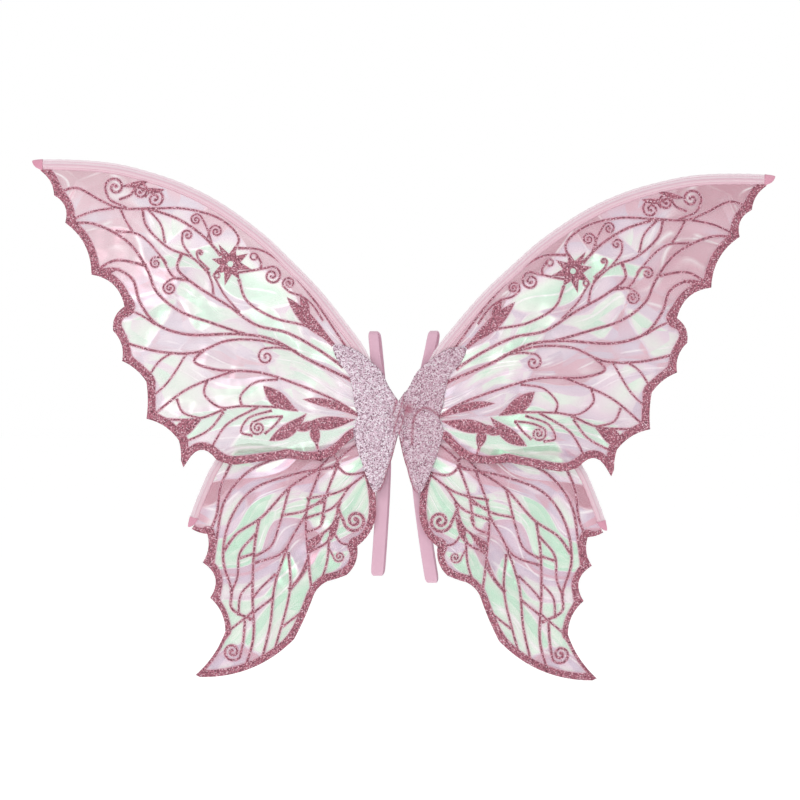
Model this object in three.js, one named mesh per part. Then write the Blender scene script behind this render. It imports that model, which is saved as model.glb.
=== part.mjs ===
// Fairy wings: four scalloped wings of organza and film on bent wire spars, joined at a gathered neck,
// with two elastic loops for the wearer's shoulders. The wings hang upright in the XZ plane, the
// printed front faces -Y and the wearer stands on the +Y side. Millimetres, +Z up. The origin is on
// the flat back of the neck.
//
// One half is drawn once, in its own (u, z) frame: u runs outwards from the neck and z runs up. The
// left half is placed at x = -u and the right half at x = +u.

import * as THREE from 'three';

// Gap that touching pieces keep.
const GAP = 0.3;

// Layers, from the wearer's side to the front.
const BACKING_THICKNESS = 3;
const HIND_MID_Y = -5.3;
const FORE_MID_Y = -9.3;
const CASING_DEPTH = 3.6;
const SHEET_THICKNESS = 0.5;
const SHEET_SPACING = 0.9;
const COVER_BACK_Y = -11.4;
const COVER_THICKNESS = 2;

// Spars and the sleeves they run in.
const SPAR_RADIUS = 1.2;
const SPAR_SIDES = 8;
const SLEEVE_HOLE_RADIUS = SPAR_RADIUS + GAP;
const FORE_CASING_WIDTH = 13;
const HIND_CASING_WIDTH = 10;
const FORE_CASING_START = 62;
const HIND_CASING_START = 24;
const TAB_LENGTH = 11;
const TAB_END_SCALE = 0.55;
const TAB_STEPS = 3;
const SPAR_END_MARGIN = 4;
const SPAR_SPACING_Z = 12;
const SHEET_START = 12;

// Root binding: a block with one bore for each spar.
const BINDING_START = 13;
const BINDING_LENGTH = 7;
const BINDING_HALF_HEIGHT = 12;
const BINDING_DEPTH = 7.6;
const BINDING_BORE_CLEARANCE = 0.5;
const BINDING_BORE_RADIUS = SPAR_RADIUS + BINDING_BORE_CLEARANCE;

// Neck.
const NECK_HALF_WIDTH = 8;
const NECK_FRONT_Y = -13;
const NECK_FABRIC_THICKNESS = 2.2;
const NECK_ROLL_HALF_WIDTH = 6;
const NECK_ROLL_HALF_DEPTH = 3.4;
const NECK_ROLL_Y = -6.9;
const NECK_ROLL_HEIGHT = 34;

// Shoulder loops of flat elastic. The rear run's ends leave room for the front run as the loop swings.
const STRAP_WIDTH = 15;
const STRAP_THICKNESS = 1.4;
const STRAP_Y = GAP + STRAP_THICKNESS / 2;
const STRAP_FRONT_INSET = 10;
const STRAP_REAR_INSET = 8;
const STRAP_BOW = 28;
const STRAP_LEAN_POWER = 1.35;
// One end of the rear run from the side: each point's y, and its distance in from the loop's end.
const STRAP_END_PATH = [[STRAP_Y, STRAP_REAR_INSET], [3.5, 2.5], [10, 0], [16.5, 3.5], [21, 20], [26, 60]];

// Sampling.
const SCALLOP_STEPS = 5;
const SPAR_STEPS = 26;
const ROOT_BEND_LENGTH = 24;
const ROOT_BEND_STEPS = 8;
const STRAP_STEPS = 40;
const ROUND_STEPS = 16;

// The right half hangs a little lower than the left one, as a soft pair of wings does.
const SIDES = [
  {
    name: 'left',
    sign: -1,
    foreTilt: 0,
    hindTilt: 0,
    strap: { waistU: 18.5, waistZ: -60, topLean: 10.8, bottomLean: 7.5, top: 102.8, bottom: -190.8 },
  },
  {
    name: 'right',
    sign: 1,
    foreTilt: 2.4,
    hindTilt: 1,
    strap: { waistU: 20.5, waistZ: -40, topLean: 22.5, bottomLean: 19.5, top: 103.3, bottom: -199.3 },
  },
];

// Centre lines of the two spars, from the root binding to the wing tip.
const FORE_SPAR = [
  [13.5, 6], [16, 6], [20, 6], [24, 8.5], [28, 20], [34, 52], [46, 79], [67, 108], [98, 147], [134, 184],
  [165, 213.5], [217, 251.5], [258, 272.5], [296, 286], [341, 297], [393, 301.3], [438.5, 301.5],
];
const HIND_SPAR = [
  [13.5, -6], [16, -6], [20, -6], [26, -9], [40, -20], [64, -33], [128, -42], [177, -36.5],
  [205, -43], [220, -62], [234, -92], [243, -115], [248.5, -133],
];

// Free edges, as legs [u, z, bow]: where a leg ends, and how far its middle bows away from the wing.
const FORE_EDGE_START = [428, 294.5];
const FORE_EDGE = [
  [411.5, 265, -4], [398, 232, -7], [366.5, 170, -9], [327, 132, -9.5], [340.5, 103, 5], [330, 67, -5],
  [301, 42, -3], [301, -2, -1.5], [262, -28, -4.5], [259.5, -52, -1], [256.5, -60, 0], [252, -53, 0],
  [217, -51, -13], [195, -57, 1], [132, -48.5, 0], [93, -50.5, 1.5], [78, -46, 0], [55, -25, 0], [28, -12, 0],
];
const HIND_EDGE_START = [242, -133];
const HIND_EDGE = [
  [229, -140, 1.2], [234.5, -174, -4], [225.5, -216.5, -11], [207.5, -257, -5], [243, -309, -4],
  [238, -311.5, 0], [125, -266, 13], [103, -217, 1], [85, -196.5, -3], [62, -189, 0.5], [49, -158, 4],
  [49.5, -154.5, 0], [27, -118, 4.5], [28, -88, 0.5], [31, -70, 0], [26, -40, 0], [24, -18, 0],
];

// Root cover and the backing pad behind it, and one side of the neck's outline.
const COVER_OUTLINE = [
  [12.5, 38.5], [20, 54], [34, 67.5], [50, 79.5], [68, 86], [78, 84], [72, 66], [60, 52], [56, 38], [52, 12],
  [48.5, 2], [54, -14], [49, -38], [42, -60], [34.5, -80], [28, -90], [22, -88], [14, -69], [12.5, -63],
];
const BACKING_OUTLINE = [
  [12.5, 34], [20, 50], [34, 62], [46, 68], [52, 50], [47, 10], [50, -15], [44, -40], [36, -62], [26, -80],
  [15, -62], [12.5, -55],
];
const NECK_OUTLINE = [[0, 19.2], [NECK_HALF_WIDTH, 31], [NECK_HALF_WIDTH, -52], [0, -20.5]];

const MATERIALS = {
  organza: { color: 0xe6dadb, roughness: 0.6, metalness: 0, transparent: true, opacity: 0.7 },
  film: { color: 0xdcf0e6, roughness: 0.15, metalness: 0.1, transparent: true, opacity: 0.6 },
  casing: { color: 0xf0cfda, roughness: 0.75, metalness: 0 },
  wire: { color: 0xb9bcc0, roughness: 0.35, metalness: 0.9 },
  tab: { color: 0xe59db0, roughness: 0.6, metalness: 0 },
  glitter: { color: 0xc9b3bf, roughness: 0.35, metalness: 0.3 },
  lining: { color: 0xd9b2c0, roughness: 0.85, metalness: 0 },
  binding: { color: 0xd8a5b4, roughness: 0.8, metalness: 0 },
  elastic: { color: 0xdcb4c8, roughness: 0.8, metalness: 0 },
};

function material(name) {
  return new THREE.MeshStandardMaterial(MATERIALS[name]);
}

function mesh(name, geometry, materialName) {
  const result = new THREE.Mesh(geometry, material(materialName));
  result.name = name;
  return result;
}

// Closed solid from points and triangles; the triangles are turned over if they face inwards.
function solid(points, triangles) {
  const cross = new THREE.Vector3();
  let volume = 0;
  for (const [a, b, c] of triangles) {
    volume += points[a].dot(cross.crossVectors(points[b], points[c]));
  }
  const index = triangles.flatMap(([a, b, c]) => (volume > 0 ? [a, b, c] : [a, c, b]));
  const geometry = new THREE.BufferGeometry().setFromPoints(points);
  geometry.setIndex(index);
  geometry.computeVertexNormals();
  return geometry;
}

// The two triangles of each quad between one ring of points and the next.
function ringWall(first, second, count, reversed) {
  const triangles = [];
  for (let i = 0; i < count; i += 1) {
    const j = (i + 1) % count;
    const quad = [[first + i, second + i, second + j], [first + i, second + j, first + j]];
    triangles.push(...quad.map(([a, b, c]) => (reversed ? [a, c, b] : [a, b, c])));
  }
  return triangles;
}

// Solid bar through rings of points, closed with a fan at each end.
function barSolid(rings) {
  const count = rings[0].length;
  const last = (rings.length - 1) * count;
  const triangles = [];
  for (let k = 0; k + 1 < rings.length; k += 1) {
    triangles.push(...ringWall(k * count, (k + 1) * count, count, false));
  }
  for (let i = 1; i + 1 < count; i += 1) {
    triangles.push([0, i, i + 1], [last, last + i + 1, last + i]);
  }
  return solid(rings.flat(), triangles);
}

// Open sleeve between outer and inner rings that hold the same number of points.
function sleeveSolid(outerRings, innerRings) {
  const count = outerRings[0].length;
  const inner = outerRings.length * count;
  const last = (outerRings.length - 1) * count;
  const triangles = [];
  for (let k = 0; k + 1 < outerRings.length; k += 1) {
    triangles.push(...ringWall(k * count, (k + 1) * count, count, false));
    triangles.push(...ringWall(inner + k * count, inner + (k + 1) * count, count, true));
  }
  triangles.push(...ringWall(0, inner, count, true));
  triangles.push(...ringWall(last, inner + last, count, false));
  return solid([...outerRings, ...innerRings].flat(), triangles);
}

// Ellipse of (across, depth) points.
function ellipseSection(halfWidth, halfDepth, count) {
  return Array.from({ length: count }, (_, i) => {
    const angle = (2 * Math.PI * i) / count;
    return [halfWidth * Math.cos(angle), halfDepth * Math.sin(angle)];
  });
}

// A spar's smooth centre line, with its points in the (u, z) frame.
function sparCurve(points) {
  const knots = points.map(([u, z]) => new THREE.Vector3(u, 0, z));
  return new THREE.CatmullRomCurve3(knots, false, 'centripetal');
}

// Point beside the curve, at a distance along it: across is measured to the right of travel.
function besideCurve(curve, distance, across, depth) {
  const at = distance / curve.getLength();
  const point = curve.getPointAt(at);
  const tangent = curve.getTangentAt(at);
  return new THREE.Vector3(point.x + tangent.z * across, depth, point.z - tangent.x * across);
}

// Distances from one to another in even steps, both ends included.
function evenly(from, to, steps) {
  return Array.from({ length: steps + 1 }, (_, k) => from + ((to - from) * k) / steps);
}

// Rings of a section carried along the curve, in the half's own frame, one at each distance.
function ringsAlong(curve, distances, midY, sectionAt) {
  return distances.map((distance, k) => {
    const section = sectionAt(k / (distances.length - 1));
    return section.map(([across, depth]) => besideCurve(curve, distance, across, midY + depth));
  });
}

function placeRings(rings, side) {
  return rings.map((ring) => ring.map((point) => new THREE.Vector3(side.sign * point.x, point.y, point.z)));
}

// Points of an edge made of bowed legs.
function edgePoints(start, legs) {
  const points = [start];
  for (const [u, z, bow] of legs) {
    const [fromU, fromZ] = points[points.length - 1];
    const length = Math.hypot(u - fromU, z - fromZ);
    const steps = bow === 0 ? 1 : SCALLOP_STEPS;
    for (let k = 1; k <= steps; k += 1) {
      const t = k / steps;
      const offset = (4 * bow * t * (1 - t)) / length;
      points.push([
        fromU + (u - fromU) * t - (z - fromZ) * offset,
        fromZ + (z - fromZ) * t + (u - fromU) * offset,
      ]);
    }
  }
  return points;
}

// Flat plate in the XZ plane, from its outline in the half's own frame.
function plate(outline, sign, backY, thickness) {
  const shape = new THREE.Shape(outline.map(([u, z]) => new THREE.Vector2(sign * u, z)));
  const geometry = new THREE.ExtrudeGeometry(shape, {
    depth: thickness,
    bevelEnabled: false,
    curveSegments: 1,
  });
  geometry.rotateX(Math.PI / 2);
  geometry.translate(0, backY, 0);
  return geometry;
}

// Outline of a wing sheet: along the casing's inner edge to the tip, then back along the free edge.
function sheetOutline(curve, casingWidth, edgeStart, edgeLegs) {
  const across = casingWidth / 2 + GAP;
  const leading = evenly(SHEET_START, curve.getLength() - TAB_LENGTH, SPAR_STEPS).map((distance) => {
    const point = besideCurve(curve, distance, across, 0);
    return [point.x, point.z];
  });
  return [...leading, ...edgePoints(edgeStart, edgeLegs)];
}

// One wing: organza in front, film behind it, and the spar in its casing, which ends in a tab.
function wing(side, kind, spec) {
  const curve = sparCurve(spec.spar);
  const casingEnd = curve.getLength() - TAB_LENGTH;
  const halfWidth = spec.casingWidth / 2;
  const outer = ellipseSection(halfWidth, CASING_DEPTH / 2, SPAR_SIDES);
  const hole = ellipseSection(SLEEVE_HOLE_RADIUS, SLEEVE_HOLE_RADIUS, SPAR_SIDES);
  const round = ellipseSection(SPAR_RADIUS, SPAR_RADIUS, SPAR_SIDES);
  const outline = sheetOutline(curve, spec.casingWidth, spec.edgeStart, spec.edge);
  const organzaBackY = spec.midY;
  const filmBackY = spec.midY + SHEET_SPACING;
  const rings = (distances, sectionAt) => (
    placeRings(ringsAlong(curve, distances, spec.midY, sectionAt), side)
  );
  const tabSection = (fraction) => {
    const scale = 1 + (TAB_END_SCALE - 1) * fraction;
    return outer.map(([across, depth]) => [across * scale, depth * scale]);
  };
  const casingStations = evenly(spec.casingStart, casingEnd, SPAR_STEPS);
  const sparStations = [
    ...evenly(0, ROOT_BEND_LENGTH, ROOT_BEND_STEPS),
    ...evenly(ROOT_BEND_LENGTH, spec.casingStart, ROOT_BEND_STEPS).slice(1),
    ...casingStations.slice(1, -1),
    casingEnd - SPAR_END_MARGIN,
  ];
  const outerRings = rings(casingStations, () => outer);
  const holeRings = rings(casingStations, () => hole);
  const sparRings = rings(sparStations, () => round);
  const tabRings = rings(evenly(casingEnd + GAP, curve.getLength(), TAB_STEPS), tabSection);
  const group = new THREE.Group();
  group.rotation.y = THREE.MathUtils.degToRad(spec.tilt);
  const prefix = `${side.name}_${kind}`;
  group.add(
    mesh(`${prefix}_organza`, plate(outline, side.sign, organzaBackY, SHEET_THICKNESS), 'organza'),
    mesh(`${prefix}_film`, plate(outline, side.sign, filmBackY, SHEET_THICKNESS), 'film'),
    mesh(`${prefix}_casing`, sleeveSolid(outerRings, holeRings), 'casing'),
    mesh(`${prefix}_spar`, barSolid(sparRings), 'wire'),
    mesh(`${prefix}_tip_tab`, barSolid(tabRings), 'tab'),
  );
  return group;
}

// Block that holds the inner ends of one half's two spars.
function rootBinding(side) {
  const midY = (HIND_MID_Y + FORE_MID_Y) / 2;
  const shape = new THREE.Shape();
  const halfDepth = BINDING_DEPTH / 2;
  shape.moveTo(midY - halfDepth, -BINDING_HALF_HEIGHT);
  shape.lineTo(midY + halfDepth, -BINDING_HALF_HEIGHT);
  shape.lineTo(midY + halfDepth, BINDING_HALF_HEIGHT);
  shape.lineTo(midY - halfDepth, BINDING_HALF_HEIGHT);
  shape.closePath();
  for (const [y, z] of [[FORE_MID_Y, SPAR_SPACING_Z / 2], [HIND_MID_Y, -SPAR_SPACING_Z / 2]]) {
    const bore = new THREE.Path();
    bore.absarc(y, z, BINDING_BORE_RADIUS, 0, 2 * Math.PI, true);
    shape.holes.push(bore);
  }
  const geometry = new THREE.ExtrudeGeometry(shape, {
    depth: BINDING_LENGTH,
    bevelEnabled: false,
    curveSegments: ROUND_STEPS,
  });
  // The section's (y, z) plane is turned to stand across the X axis.
  geometry.applyMatrix4(new THREE.Matrix4().makeBasis(
    new THREE.Vector3(0, 1, 0),
    new THREE.Vector3(0, 0, 1),
    new THREE.Vector3(1, 0, 0),
  ));
  const start = side.sign > 0 ? BINDING_START : -BINDING_START - BINDING_LENGTH;
  geometry.translate(start, 0, 0);
  return mesh(`${side.name}_root_binding`, geometry, 'binding');
}

// How far out a loop's centre line stands at a height: nearest the neck at its waist.
function strapU({ waistU, waistZ, topLean, bottomLean, top, bottom }, z) {
  const rise = z > waistZ ? (z - waistZ) / (top - waistZ) : (waistZ - z) / (waistZ - bottom);
  const lean = z > waistZ ? topLean : bottomLean;
  return waistU + lean * Math.pow(rise, STRAP_LEAN_POWER);
}

// Band of elastic along a loop's path of (y, z) points.
function strapBand(side, pathPoints) {
  const path = new THREE.CatmullRomCurve3(
    pathPoints.map(([y, z]) => new THREE.Vector3(0, y, z)),
    false,
    'centripetal',
  );
  const outwards = new THREE.Vector3(side.sign, 0, 0);
  const rings = [];
  for (let k = 0; k <= STRAP_STEPS; k += 1) {
    const at = k / STRAP_STEPS;
    const place = (t) => {
      const point = path.getPointAt(t);
      return point.setX(side.sign * strapU(side.strap, point.z));
    };
    const centre = place(at);
    const step = 1 / (4 * STRAP_STEPS);
    const tangent = place(Math.min(1, at + step)).sub(place(Math.max(0, at - step))).normalize();
    const across = outwards.clone().addScaledVector(tangent, -outwards.dot(tangent)).normalize();
    const through = new THREE.Vector3().crossVectors(across, tangent);
    rings.push([[-1, -1], [1, -1], [1, 1], [-1, 1]].map(([a, b]) => centre.clone()
      .addScaledVector(across, (a * STRAP_WIDTH) / 2)
      .addScaledVector(through, (b * STRAP_THICKNESS) / 2)));
  }
  return barSolid(rings);
}

// The loop's front run, which is sewn to the backing pad by its middle.
function strapFront(side) {
  const { top, bottom } = side.strap;
  const path = [[STRAP_Y, bottom + STRAP_FRONT_INSET], [STRAP_Y, 0], [STRAP_Y, top - STRAP_FRONT_INSET]];
  return mesh(`${side.name}_strap_front`, strapBand(side, path), 'elastic');
}

// The loop's rear run, which goes round the wearer's shoulder, with the turn at each end.
function strapRear(side) {
  const { top, bottom } = side.strap;
  const upper = STRAP_END_PATH.map(([y, inset]) => [y, top - inset]);
  const lower = STRAP_END_PATH.map(([y, inset]) => [y, bottom + inset]).reverse();
  const path = [...upper, [STRAP_BOW, (top + bottom) / 2], ...lower];
  return mesh(`${side.name}_strap_rear`, strapBand(side, path), 'elastic');
}

function half(side) {
  const fore = {
    spar: FORE_SPAR,
    midY: FORE_MID_Y,
    casingWidth: FORE_CASING_WIDTH,
    casingStart: FORE_CASING_START,
    edgeStart: FORE_EDGE_START,
    edge: FORE_EDGE,
    tilt: side.foreTilt,
  };
  const hind = {
    spar: HIND_SPAR,
    midY: HIND_MID_Y,
    casingWidth: HIND_CASING_WIDTH,
    casingStart: HIND_CASING_START,
    edgeStart: HIND_EDGE_START,
    edge: HIND_EDGE,
    tilt: side.hindTilt,
  };
  const root = new THREE.Group();
  root.rotation.y = THREE.MathUtils.degToRad((side.foreTilt + side.hindTilt) / 2);
  const cover = plate(COVER_OUTLINE, side.sign, COVER_BACK_Y, COVER_THICKNESS);
  const pad = plate(BACKING_OUTLINE, side.sign, 0, BACKING_THICKNESS);
  root.add(
    mesh(`${side.name}_root_cover`, cover, 'glitter'),
    mesh(`${side.name}_backing_pad`, pad, 'lining'),
    rootBinding(side),
  );
  const group = new THREE.Group();
  group.add(
    wing(side, 'forewing', fore),
    wing(side, 'hindwing', hind),
    root,
    strapFront(side),
    strapRear(side),
  );
  return group;
}

// The neck's outline on both sides of the middle.
function neckOutline() {
  const mirrored = NECK_OUTLINE.slice(1, -1).reverse().map(([x, z]) => [-x, z]);
  return [...NECK_OUTLINE, ...mirrored];
}

function neck() {
  const roll = new THREE.CylinderGeometry(1, 1, NECK_ROLL_HEIGHT, ROUND_STEPS);
  roll.rotateX(Math.PI / 2);
  roll.scale(NECK_ROLL_HALF_WIDTH, NECK_ROLL_HALF_DEPTH, 1);
  roll.translate(0, NECK_ROLL_Y, 0);
  const frontBackY = NECK_FRONT_Y + NECK_FABRIC_THICKNESS;
  const group = new THREE.Group();
  group.add(
    mesh('neck_gather', plate(neckOutline(), 1, frontBackY, NECK_FABRIC_THICKNESS), 'glitter'),
    mesh('neck_roll', roll, 'binding'),
    mesh('neck_lining', plate(neckOutline(), 1, 0, BACKING_THICKNESS), 'lining'),
  );
  return group;
}

const fairyWings = new THREE.Group();
fairyWings.name = 'fairy_wings';
fairyWings.add(neck(), ...SIDES.map(half));

export default fairyWings;
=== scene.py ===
"""Fairy wings: the looks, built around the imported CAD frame.

Wing shapes are drawn once in a half's own frame, in millimetres: u runs outwards from the neck and z up.
place() puts them in the row frame, in metres. The print is made of generic scrolls, leaves, a star
flower and branching veins.
"""
import math

import bpy
import numpy as np
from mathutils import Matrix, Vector
from mathutils.geometry import delaunay_2d_cdt


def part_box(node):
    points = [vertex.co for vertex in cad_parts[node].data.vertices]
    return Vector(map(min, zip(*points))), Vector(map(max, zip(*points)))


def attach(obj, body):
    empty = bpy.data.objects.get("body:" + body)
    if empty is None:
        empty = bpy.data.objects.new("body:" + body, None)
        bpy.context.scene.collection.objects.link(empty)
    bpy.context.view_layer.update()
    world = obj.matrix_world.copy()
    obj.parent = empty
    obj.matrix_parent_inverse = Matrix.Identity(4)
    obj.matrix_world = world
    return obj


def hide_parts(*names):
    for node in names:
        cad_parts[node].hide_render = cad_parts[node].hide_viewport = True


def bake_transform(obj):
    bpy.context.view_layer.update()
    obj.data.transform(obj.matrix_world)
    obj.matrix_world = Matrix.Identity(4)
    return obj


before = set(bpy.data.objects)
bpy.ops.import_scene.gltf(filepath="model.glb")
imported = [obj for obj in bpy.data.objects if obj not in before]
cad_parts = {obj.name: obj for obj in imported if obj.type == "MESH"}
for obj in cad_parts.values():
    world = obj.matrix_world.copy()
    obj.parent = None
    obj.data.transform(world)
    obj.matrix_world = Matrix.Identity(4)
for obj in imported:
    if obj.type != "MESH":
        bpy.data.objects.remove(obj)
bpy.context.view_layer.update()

MM = 0.001
SIDES = ("left", "right")
SIGN = {"left": -1, "right": 1}
KINDS = ("forewing", "hindwing")

# How far each group of the right half droops about the neck, in degrees.
TILT = {
    "left": {"forewing": 0, "hindwing": 0, "root": 0, "strap": 0},
    "right": {"forewing": 2.4, "hindwing": 1, "root": 1.7, "strap": 0},
}

# Camera: the place it looks at straight on, its distance from there, and its lens.
AIM = Vector((0.0018, 0, 0.0204))
CAMERA_DISTANCE = 2.667
LENS = 100
SENSOR = 36

# Studio: the floor, the world's light, and lamps as (name, place, size, power).
FLOOR_Z = -0.5
FLOOR_SIZE = 60
WORLD_LIGHT = 0.72
LIGHTS = (
    ("key_light", (-1.2, -2.2, 1.7), 1.2, 14),
    ("front_light", (-0.5, -3.0, 0.35), 0.5, 6),
    ("back_light", (0.6, 2.2, 1.2), 1.6, 8),
)

# How lines and discs are sampled, in millimetres. A line can be read to within LINE_END_GAP of its end.
LINE_STEP = 4.0
FINE_STEP = 1.0
TANGENT_REACH = 0.75
LINE_END_GAP = 0.76
DISC_SIDES = 12
MERGE_GAP = 1e-4
TINY = 1e-9

# Spars, from the root to the tip, and the casings around them.
SPARS = {
    "forewing": [
        (13.5, 6), (16, 6), (20, 6), (24, 8.5), (28, 20), (34, 52), (46, 79), (67, 108), (98, 147),
        (134, 184), (165, 213.5), (217, 251.5), (258, 272.5), (296, 286), (341, 297), (393, 301.3),
        (438.5, 301.5),
    ],
    "hindwing": [
        (13.5, -6), (16, -6), (20, -6), (26, -9), (40, -20), (64, -33), (128, -42), (177, -36.5),
        (205, -43), (220, -62), (234, -92), (243, -115), (248.5, -133),
    ],
}
CASING_WIDTH = {"forewing": 13, "hindwing": 10}
CASING_START = {"forewing": 62, "hindwing": 24}
SHEET_START = 12
SEAM_ALLOWANCE = 1

# The casing's section: places across it as shares of its half width, how thick it is over the wire and at
# its flanges, how wide the bulge is and how thin the rim is. It puckers and wavers along its length as
# (depth, rate), and its last ring may pass its end by CASING_OVERRUN.
CASING_SHARES = (1, 0.94, 0.75, 0.5, 0.34, 0.2, 0.08)
WIRE_BULGE = 1.8
BULGE_WIDTH = 2.1
FLANGE = 0.45
CASING_RIM = 0.4
STATION_STEP = 2.5
CASING_OVERRUN = 0.5
PUCKERS = ((0.09, 0.9), (0.06, 0.37))
WAVER = (0.18, 0.55)
SEAM_SHARES = (-0.56, 0.56, 0.9)
THREAD_LIFT = 0.12

# The ribbon over a casing's end: its length, how far it overlaps the casing and stops short of the spar
# line's end, how far it stands out beside the casing, its depth, and how it narrows and thins. Then come
# shares for its rounded tip, its squarish section, its lean to the outside and its creases.
TAB_LENGTH = 11
TAB_OVERLAP = 2.0
TAB_SHORT = 0.4
TAB_MARGIN = 0.5
TAB_DEPTH = 2.1
TAB_NARROWING = 0.5
TAB_THINNING = 0.5
TAB_RINGS = 11
TAB_SIDES = 20
TAB_ROUND = 0.55
TAB_ROUNDNESS = 0.22
TAB_LEAST = 0.02
TAB_SQUARE = 0.7
TAB_SHIFT = 0.7
TAB_CRUSH = 0.12
TAB_CREASES = 6

# Stitches: where a row begins, how far apart its beads are and how long each is, in a seam and in a strap's
# tacks, how thick a bead is, and how that changes along it as (share, swell).
FIRST_STITCH = 0.4
SEAM_STITCH = (3.0, 2.1)
TACK_STITCH = (2.2, 1.6)
STITCH_RADIUS = 0.28
STITCH_SWELLS = ((0, 0.35), (0.2, 0.9), (0.5, 1), (0.8, 0.9), (1, 0.35))

# Free edges: where each begins, and legs (u, z, bow), where bow is how far the middle bows outwards.
EDGE_START = {"forewing": (428, 294.5), "hindwing": (247.5, -134)}
EDGES = {
    "forewing": [
        (411.5, 265, -4), (398, 232, -7), (366.5, 170, -9), (327, 132, -9.5), (340.5, 103, 5), (330, 67, -5),
        (301, 42, -3), (301, -2, -1.5), (262, -28, -4.5), (259.5, -52, -1), (256.5, -60, 0), (252, -53, 0),
        (217, -51, -13), (195, -57, 1), (132, -48.5, 0), (93, -50.5, 1.5), (78, -46, 0), (55, -25, 0),
        (28, -12, 0),
    ],
    "hindwing": [
        (229, -140, 1.2), (234.5, -174, -4), (225.5, -216.5, -11), (207.5, -257, -5), (243, -309, -4),
        (238, -311.5, 0), (125, -266, 13), (103, -217, 1), (85, -196.5, -3), (62, -189, 0.5), (49, -158, 4),
        (49.5, -154.5, 0), (27, -118, 4.5), (28, -88, 0.5), (31, -70, 0), (26, -40, 0), (24, -18, 0),
    ],
}
EDGE_STEP = 5

# The glitter border: its width, the legs where it is narrower, and how it widens at a sharp cusp.
BORDER_SIDES = 10
BORDER_WIDTH = {"forewing": 9.2, "hindwing": 8.0}
NARROW_LEGS = {"forewing": {}, "hindwing": {0: 0.6, 3: 0.75, 4: 0.45}}
CUSP_EXTRA = 3.6
CUSP_TURN = 1.1
CUSP_REACH = 7
SOFTENING = (0.25, 0.5, 0.25)

# The cloth's grid, how far the print's pale base shows beside it, and how far both stand before the cloth.
GRID_STEP = 6
HALO = 1.1
BASE_LIFT = 0.12
GLITTER_TOP = 0.5
GLITTER_FOOT = 0.16

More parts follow.
